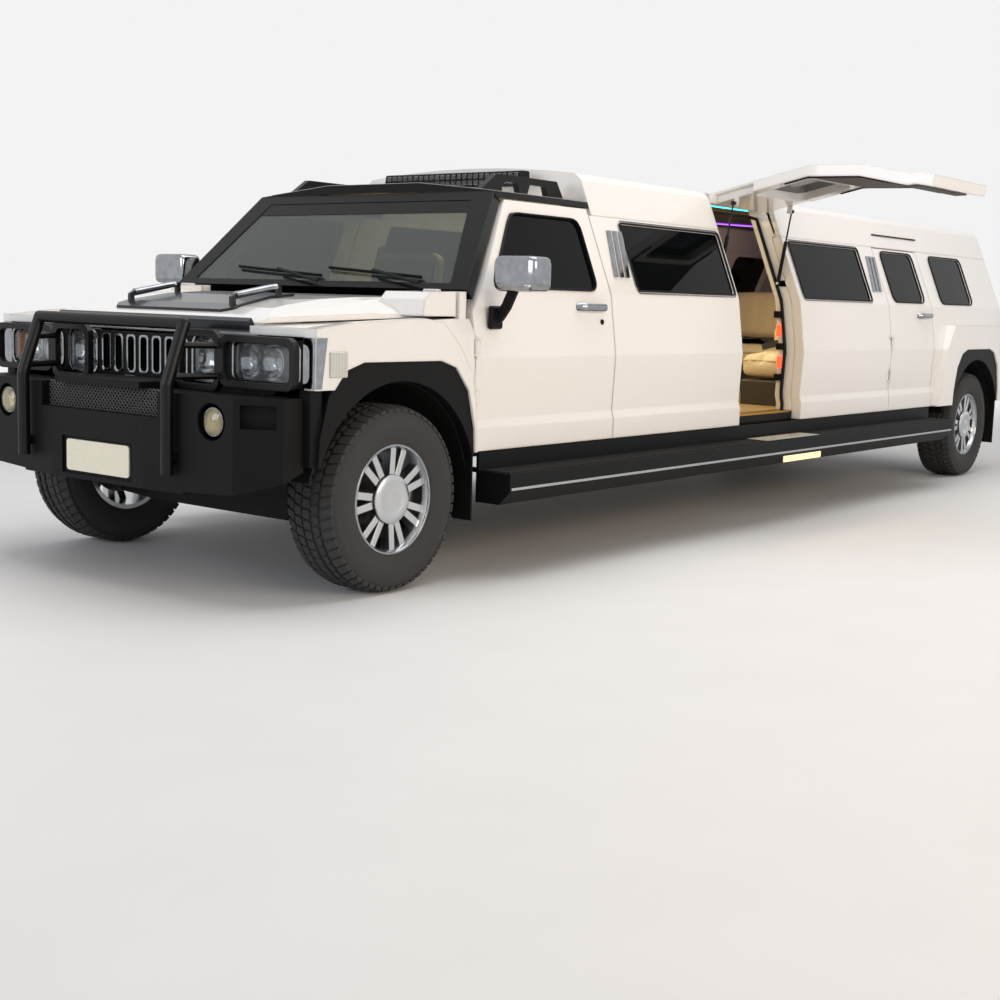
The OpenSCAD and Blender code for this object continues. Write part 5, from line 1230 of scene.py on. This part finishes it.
@dataclass
class Cabin:
    """The saloon and the cab: padded seats, belts, carpets, headlining, light strips and bar ware."""

    floor_z: float = 0.595
    plinth_z: float = 0.085
    cushion_z: float = 0.255
    inset: float = 0.012
    swell: float = 0.022
    faces_across: int = 22
    least_face: float = 0.012
    most_face: float = 0.030
    channel: float = 0.016
    pull: float = 0.02
    pipe_level: float = 0.62
    pipe_r: float = 0.006
    ceiling_z: float = 1.838
    ceiling_half: float = 0.682
    ceiling_fall: float = 0.041
    bench_x: float = -0.395
    bench_y: float = -0.480
    bar_z: float = 1.075

    def cushion(self, name: str, centre: Triple, half: Triple, channels: int, along: Axis,
                turn: float = 0.0) -> None:
        """A cushion: a crowned box swollen as cloth, with sewn channels in its top and waisted sides.

        Args:
            name: the cushion's name.
            centre: its middle.
            half: half of its sides.
            channels: how many channels cross it.
            along: the axis that the channels are spread over.
            turn: its lean about that axis.
        """
        size = np.asarray(half)
        voxel = float(np.clip(size.max() / self.faces_across, self.least_face, self.most_face))
        base = swollen(pillow(tuple(size - self.inset), 0.28, 44), voxel, self.swell)
        unit = base.points / size
        wave = np.abs(np.sin((unit[:, along.value] + 1) * np.pi / 2 * (channels + 1)))
        crown = np.clip(unit[:, 2], 0, 1)
        base.points[:, 2] -= self.channel * (1 - wave) ** 3 * crown
        base.points[:, :2] *= 1 - self.pull * (1 - np.clip(unit[:, 1::-1], -1, 1) ** 2)
        pad = piece(name, base.turned(along, turn).moved(centre), LEATHER, BODY, crease=80)
        finer = pad.modifiers.new("finer_faces", "SUBSURF")
        finer.levels = finer.render_levels = 1
        piece(name + "_piping", self.piping(base).turned(along, turn).moved(centre), THREAD, BODY, crease=80)

    def piping(self, pad: Surface, bins: int = 72) -> Surface:
        """A piped seam: a cord round a cushion's waist, through the mean of its points by their bearing."""
        low, high = pad.points[:, 2].min(), pad.points[:, 2].max()
        middle = low + self.pipe_level * (high - low)
        near = pad.points[np.abs(pad.points[:, 2] - middle) < 0.16 * (high - low)]
        size = np.abs(near[:, :2]).max(0)
        bearing = np.arctan2(near[:, 1] / size[1], near[:, 0] / size[0])
        slot = np.floor((bearing + np.pi) / (2 * np.pi) * bins).astype(int) % bins
        count = np.bincount(slot, minlength=bins)
        x, y = (np.bincount(slot, near[:, k], bins)[count > 0] / count[count > 0] * 1.004 for k in (0, 1))
        return carry(spread(x, y, middle), circle(self.pipe_r, 8), closed=True)

    def seat(self, name: str, x: float, y: float, width: float, length: float, back: float,
             replaces: tuple[str, ...] = ()) -> None:
        """A forward-facing seat: a plinth, a cushion and a leaning back.

        Args:
            name: the seat's name.
            x: its rear edge.
            y: its middle.
            width: its width.
            length: its cushion's length.
            back: its back's height.
            replaces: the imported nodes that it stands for.
        """
        half = width / 2 - 0.012
        count = max(2, round(width / 0.13))
        plinth = bricks([(x + length / 2, y, self.floor_z + self.plinth_z)],
                        (length / 2 - 0.03, half - 0.02, 0.083), 0.012)
        piece(name + "_plinth", plinth, TRIM_HIDE, BODY, replaces)
        self.cushion(name + "_cushion", (x + length / 2 + 0.04, y, self.floor_z + self.cushion_z),
                     (length / 2 - 0.05, half, 0.082), count, Axis.Y)
        rise = back / 2
        self.cushion(name + "_back", (x + 0.062 - 0.2079 * rise, y, self.floor_z + 0.345 + 0.978 * rise),
                     (rise - 0.01, half, 0.060), count, Axis.Y, 1.361)

    def belt(self, points: list) -> Surface:
        """A webbing strap carried through points along a smooth curve."""
        return carry(smoothed(points, 24, 1), flat(0.046, 0.003), (1, 0, 0.4))

    def carpet(self, x0: float, x1: float, half: float) -> Surface:
        """A fitted carpet: rounded outlines from its bound edge up to its pile, closed underneath."""
        rows = ((0.0005, 1.0, 0.0), (0.006, 1.0, 0.0), (0.009, 1.0, 0.006), (0.010, 1.0, 0.016),
                (0.010, 0.02, 0.0))
        loops = []
        for z, share, inset in rows:
            x, y = rounded((x1 - x0 - 2 * inset) * share, (2 * half - 2 * inset) * share, 0.06 * share).T
            loops.append(spread(x + (x0 + x1) / 2, y, self.floor_z + z))
        return grid(np.stack(loops), False, True, True)

    def ceiling(self, y: Array, top: float) -> Array:
        """Returns the ceiling's height across the car: it falls with the square of the distance."""
        return top - self.ceiling_fall * (y / self.ceiling_half) ** 2

    def headlining(self) -> Surface:
        """The saloon's headlining: a thin sheet that follows the roof's crown."""
        y = np.linspace(-0.60, 0.60, 17)
        top = np.stack([y, self.ceiling(y, self.ceiling_z)], -1)
        return drawn(np.vstack([top, (top - [0, 0.004])[::-1]]), -3.68, 1.53)

    def flute(self) -> Surface:
        """A drinking glass: a foot, a thin stem and a hollow bowl turned about an upright axis."""
        profile = [[0.0, 0.0], [0.0, 0.030], [0.004, 0.028], [0.010, 0.005], [0.080, 0.004], [0.095, 0.018],
                   [0.150, 0.027], [0.200, 0.024], [0.200, 0.022], [0.150, 0.025], [0.098, 0.014],
                   [0.090, 0.0]]
        return lathe(profile, 20).standing()

    def dress(self) -> None:
        """Builds the cabin's pieces."""
        self.seat("left_front_seat", 1.640, 0.390, 0.520, 0.520, 0.560, ("seats",))
        self.seat("right_front_seat", 1.640, -0.390, 0.520, 0.520, 0.560)
        self.seat("doorway_seat", -1.120, 0.600, 0.380, 0.520, 0.560)
        self.seat("rear_bench", -2.520, 0.0, 1.600, 0.510, 0.440)
        plinth = bricks([(self.bench_x, self.bench_y, self.floor_z + self.plinth_z)],
                        (1.575, 0.200, 0.083), 0.012)
        piece("side_bench_plinth", plinth, TRIM_HIDE, BODY)
        self.cushion("side_bench_cushion", (self.bench_x, self.bench_y, self.floor_z + self.cushion_z),
                     (1.585, 0.215, 0.082), 12, Axis.X)
        self.cushion("side_bench_back", (self.bench_x, -0.765, self.floor_z + 0.475), (1.585, 0.140, 0.055),
                     12, Axis.X, -1.45)
        front = self.belt([(1.560, 0.640, 1.480), (1.700, 0.560, 1.300), (1.800, 0.420, 1.060),
                           (1.860, 0.180, 0.960)])
        rear = self.belt([(-1.200, 0.760, 1.430), (-1.040, 0.690, 1.230), (-0.960, 0.560, 1.000),
                          (-0.900, 0.440, 0.960)])
        piece("seat_belts", joined(both(front), rear), WEBBING, BODY)
        piece("headlining", self.headlining(), TRIM_HIDE, BODY)
        piece("saloon_carpet", self.carpet(-2.500, 1.560, 0.800), CARPET, BODY)
        piece("cab_carpet", self.carpet(1.630, 2.400, 0.780), CARPET, BODY)
        x = np.linspace(-3.4, 1.4, 40)
        strips = (("cyan", 0.44, CYAN_LIGHT), ("violet", -0.44, VIOLET_LIGHT), ("warm", 0.0, WARM_LIGHT))
        for name, y, finish in strips:
            wave = y + 0.05 * np.sin(3 * x) * np.sign(y)
            strip = carry(spread(x, wave, self.ceiling(wave, self.ceiling_z - 0.010)), flat(0.026, 0.008))
            piece(name + "_ceiling_strip", strip, finish, BODY)
        ware = [self.flute().moved((0.62 + 0.075 * i, 0.52 + 0.05 * (i % 2), self.bar_z + 0.0005))
                for i in range(5)]
        piece("bar_flutes", joined(*ware), CRYSTAL, BODY)


@dataclass
class Studio:
    """Floor, lamps and camera at the photograph's place."""

    eye: Triple = (7.6008, 4.9378, 1.2090)
    yaw: float = 37.8496
    pitch: float = -7.7984
    roll: float = 1.6974
    lens_mm: float = 52.41
    backdrop: str = "#f3f3f3"
    floor_half: float = 60.0
    fade_from: float = 5.5
    fade_to: float = 15.0

    def lamp(self, name: str, place: Triple, aim: Triple, size: tuple, power: float, colour: str) -> None:
        """Hangs one soft box that faces a point.

        Args:
            name: the lamp's name.
            place: where it hangs.
            aim: what it faces.
            size: its width and height.
            power: its watts.
            colour: its sRGB colour.
        """
        data = bpy.data.lights.new(name, "AREA")
        data.shape = "RECTANGLE"
        data.size, data.size_y = size
        data.energy = power
        data.color = linear(colour)[:3]
        lamp = bpy.data.objects.new(name, data)
        bpy.context.scene.collection.objects.link(lamp)
        away = Vector(place) - Vector(aim)
        lamp.rotation_euler = away.to_track_quat("Z", "Y").to_euler()
        lamp.location = place

    def camera(self) -> None:
        """Stands the camera where the photograph was taken, from its yaw, pitch and roll."""
        yaw, pitch, roll = (math.radians(a) for a in (self.yaw, self.pitch, self.roll))
        level = math.cos(pitch)
        ahead = np.array([-math.cos(yaw) * level, -math.sin(yaw) * level, math.sin(pitch)])
        right = np.cross(ahead, [0, 0, 1])
        right /= np.linalg.norm(right)
        up = np.cross(right, ahead)
        side = math.cos(roll) * right + math.sin(roll) * up
        top = -math.sin(roll) * right + math.cos(roll) * up
        data = bpy.data.cameras.new("photo_camera")
        data.lens = self.lens_mm
        data.sensor_width = 36
        data.clip_end = 200
        eye = bpy.data.objects.new("photo_camera", data)
        bpy.context.scene.collection.objects.link(eye)
        turn = Matrix(np.stack([side, top, -ahead], -1).tolist()).to_4x4()
        eye.matrix_world = Matrix.Translation(self.eye) @ turn
        bpy.context.scene.camera = eye

    @staticmethod
    def seen(tree: bpy.types.NodeTree) -> bpy.types.NodeSocket:
        """Adds a mask of the rays that meet the lens, a mirror or a pane, and returns its output."""
        path = add(tree, "LightPath")
        mask = path.outputs["Is Camera Ray"]
        for kind in ("Is Transmission Ray", "Is Glossy Ray"):
            mask = add(tree, "Math", {0: mask, 1: path.outputs[kind]}, operation="MAXIMUM").outputs[0]
        return mask

    def sky(self) -> None:
        """Sets a world that lights softly and shows the lens, mirrors and panes a paler backdrop."""
        world = bpy.data.worlds.new("studio_world")
        bpy.context.scene.world = world
        world.use_nodes = True
        tree = world.node_tree
        tree.nodes.clear()
        soft = add(tree, "Background", Color=linear("#e4e6ea"), Strength=0.5)
        pale = add(tree, "Background", Color=linear(self.backdrop), Strength=1.0)
        blend = add(tree, "MixShader", {0: self.seen(tree), 1: soft.outputs[0], 2: pale.outputs[0]})
        add(tree, "OutputWorld", {"Surface": blend.outputs[0]})

    def floor(self) -> None:
        """Lays a pale floor that keeps the shadow near the car and fades into the backdrop far from it."""
        mesh = bpy.data.meshes.new("studio_floor")
        corners = self.floor_half * np.array([[-1, -1, 0], [1, -1, 0], [1, 1, 0], [-1, 1, 0]])
        mesh.from_pydata(corners.tolist(), [], [(0, 1, 2, 3)])
        made = bpy.data.objects.new("studio_floor", mesh)
        bpy.context.scene.collection.objects.link(made)
        material = STUDIO_FLOOR.material()
        tree = material.node_tree
        place = add(tree, "NewGeometry")
        away = add(tree, "VectorMath", {0: place.outputs["Position"]}, operation="LENGTH")
        fade = add(tree, "MapRange", {"Value": away.outputs["Value"]}, interpolation_type="SMOOTHSTEP",
                   From_Min=self.fade_from, From_Max=self.fade_to)
        mask = add(tree, "Math", {0: fade.outputs["Result"], 1: self.seen(tree)}, operation="MULTIPLY")
        pale = add(tree, "Emission", Color=linear(self.backdrop), Strength=1.0)
        out = next(n for n in tree.nodes if n.bl_idname == "ShaderNodeOutputMaterial")
        lit = out.inputs["Surface"].links[0].from_socket
        blend = add(tree, "MixShader", {0: mask.outputs[0], 1: lit, 2: pale.outputs[0]})
        tree.links.new(blend.outputs[0], out.inputs["Surface"])
        mesh.materials.append(material)

    def dress(self) -> None:
        """Lays the floor, sets the world and hangs the lamps."""
        self.floor()
        self.sky()
        self.lamp("overhead_softbox", (1.0, 1.0, 7.5), (0.5, 0, 0.8), (9, 5), 390, "#ffffff")
        self.lamp("side_softbox", (2.5, 9.0, 3.2), (0.5, 0, 1.0), (8, 3), 330, "#ffe9d2")
        self.lamp("front_softbox", (10.5, -1.5, 3.0), (3.0, 0, 0.8), (4, 3), 170, "#eef3ff")
        self.lamp("cabin_glow", (0.0, 0.0, 1.80), (0.0, 0, 0.5), (2.8, 0.7), 29, "#ffe3ad")
        self.camera()
        bpy.context.scene.view_settings.view_transform = "Standard"


def paint_nodes(frame: dict) -> None:
    """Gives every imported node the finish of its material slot.

    Args:
        frame: what the loader returned.
    """
    slots = {entry["node"]: entry["material_slot"] for entry in frame["record"]["subparts"]}
    for name, node in frame["nodes"].items():
        finish = NODE_FINISHES.get(name) or SLOT_FINISHES[slots[name]]
        node.data.materials.clear()
        node.data.materials.append(finish.material())


def main(frame: dict) -> None:
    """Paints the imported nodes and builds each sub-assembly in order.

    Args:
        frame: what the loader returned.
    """
    logging.basicConfig(level=logging.INFO, format="%(message)s")
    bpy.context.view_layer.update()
    paint_nodes(frame)
    for axle, x in (("front", AXLE_X), ("rear", -AXLE_X)):
        for side in Side:
            Wheel(f"{axle}_{side.value}", x, side).dress()
    flank = Flank()
    for assembly in (flank, Front(), EngineBay(), Roof(), Steps(), Doorway(flank), Tail(), Cabin(), Studio()):
        assembly.dress()


if __name__ == "__main__":
    main(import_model())
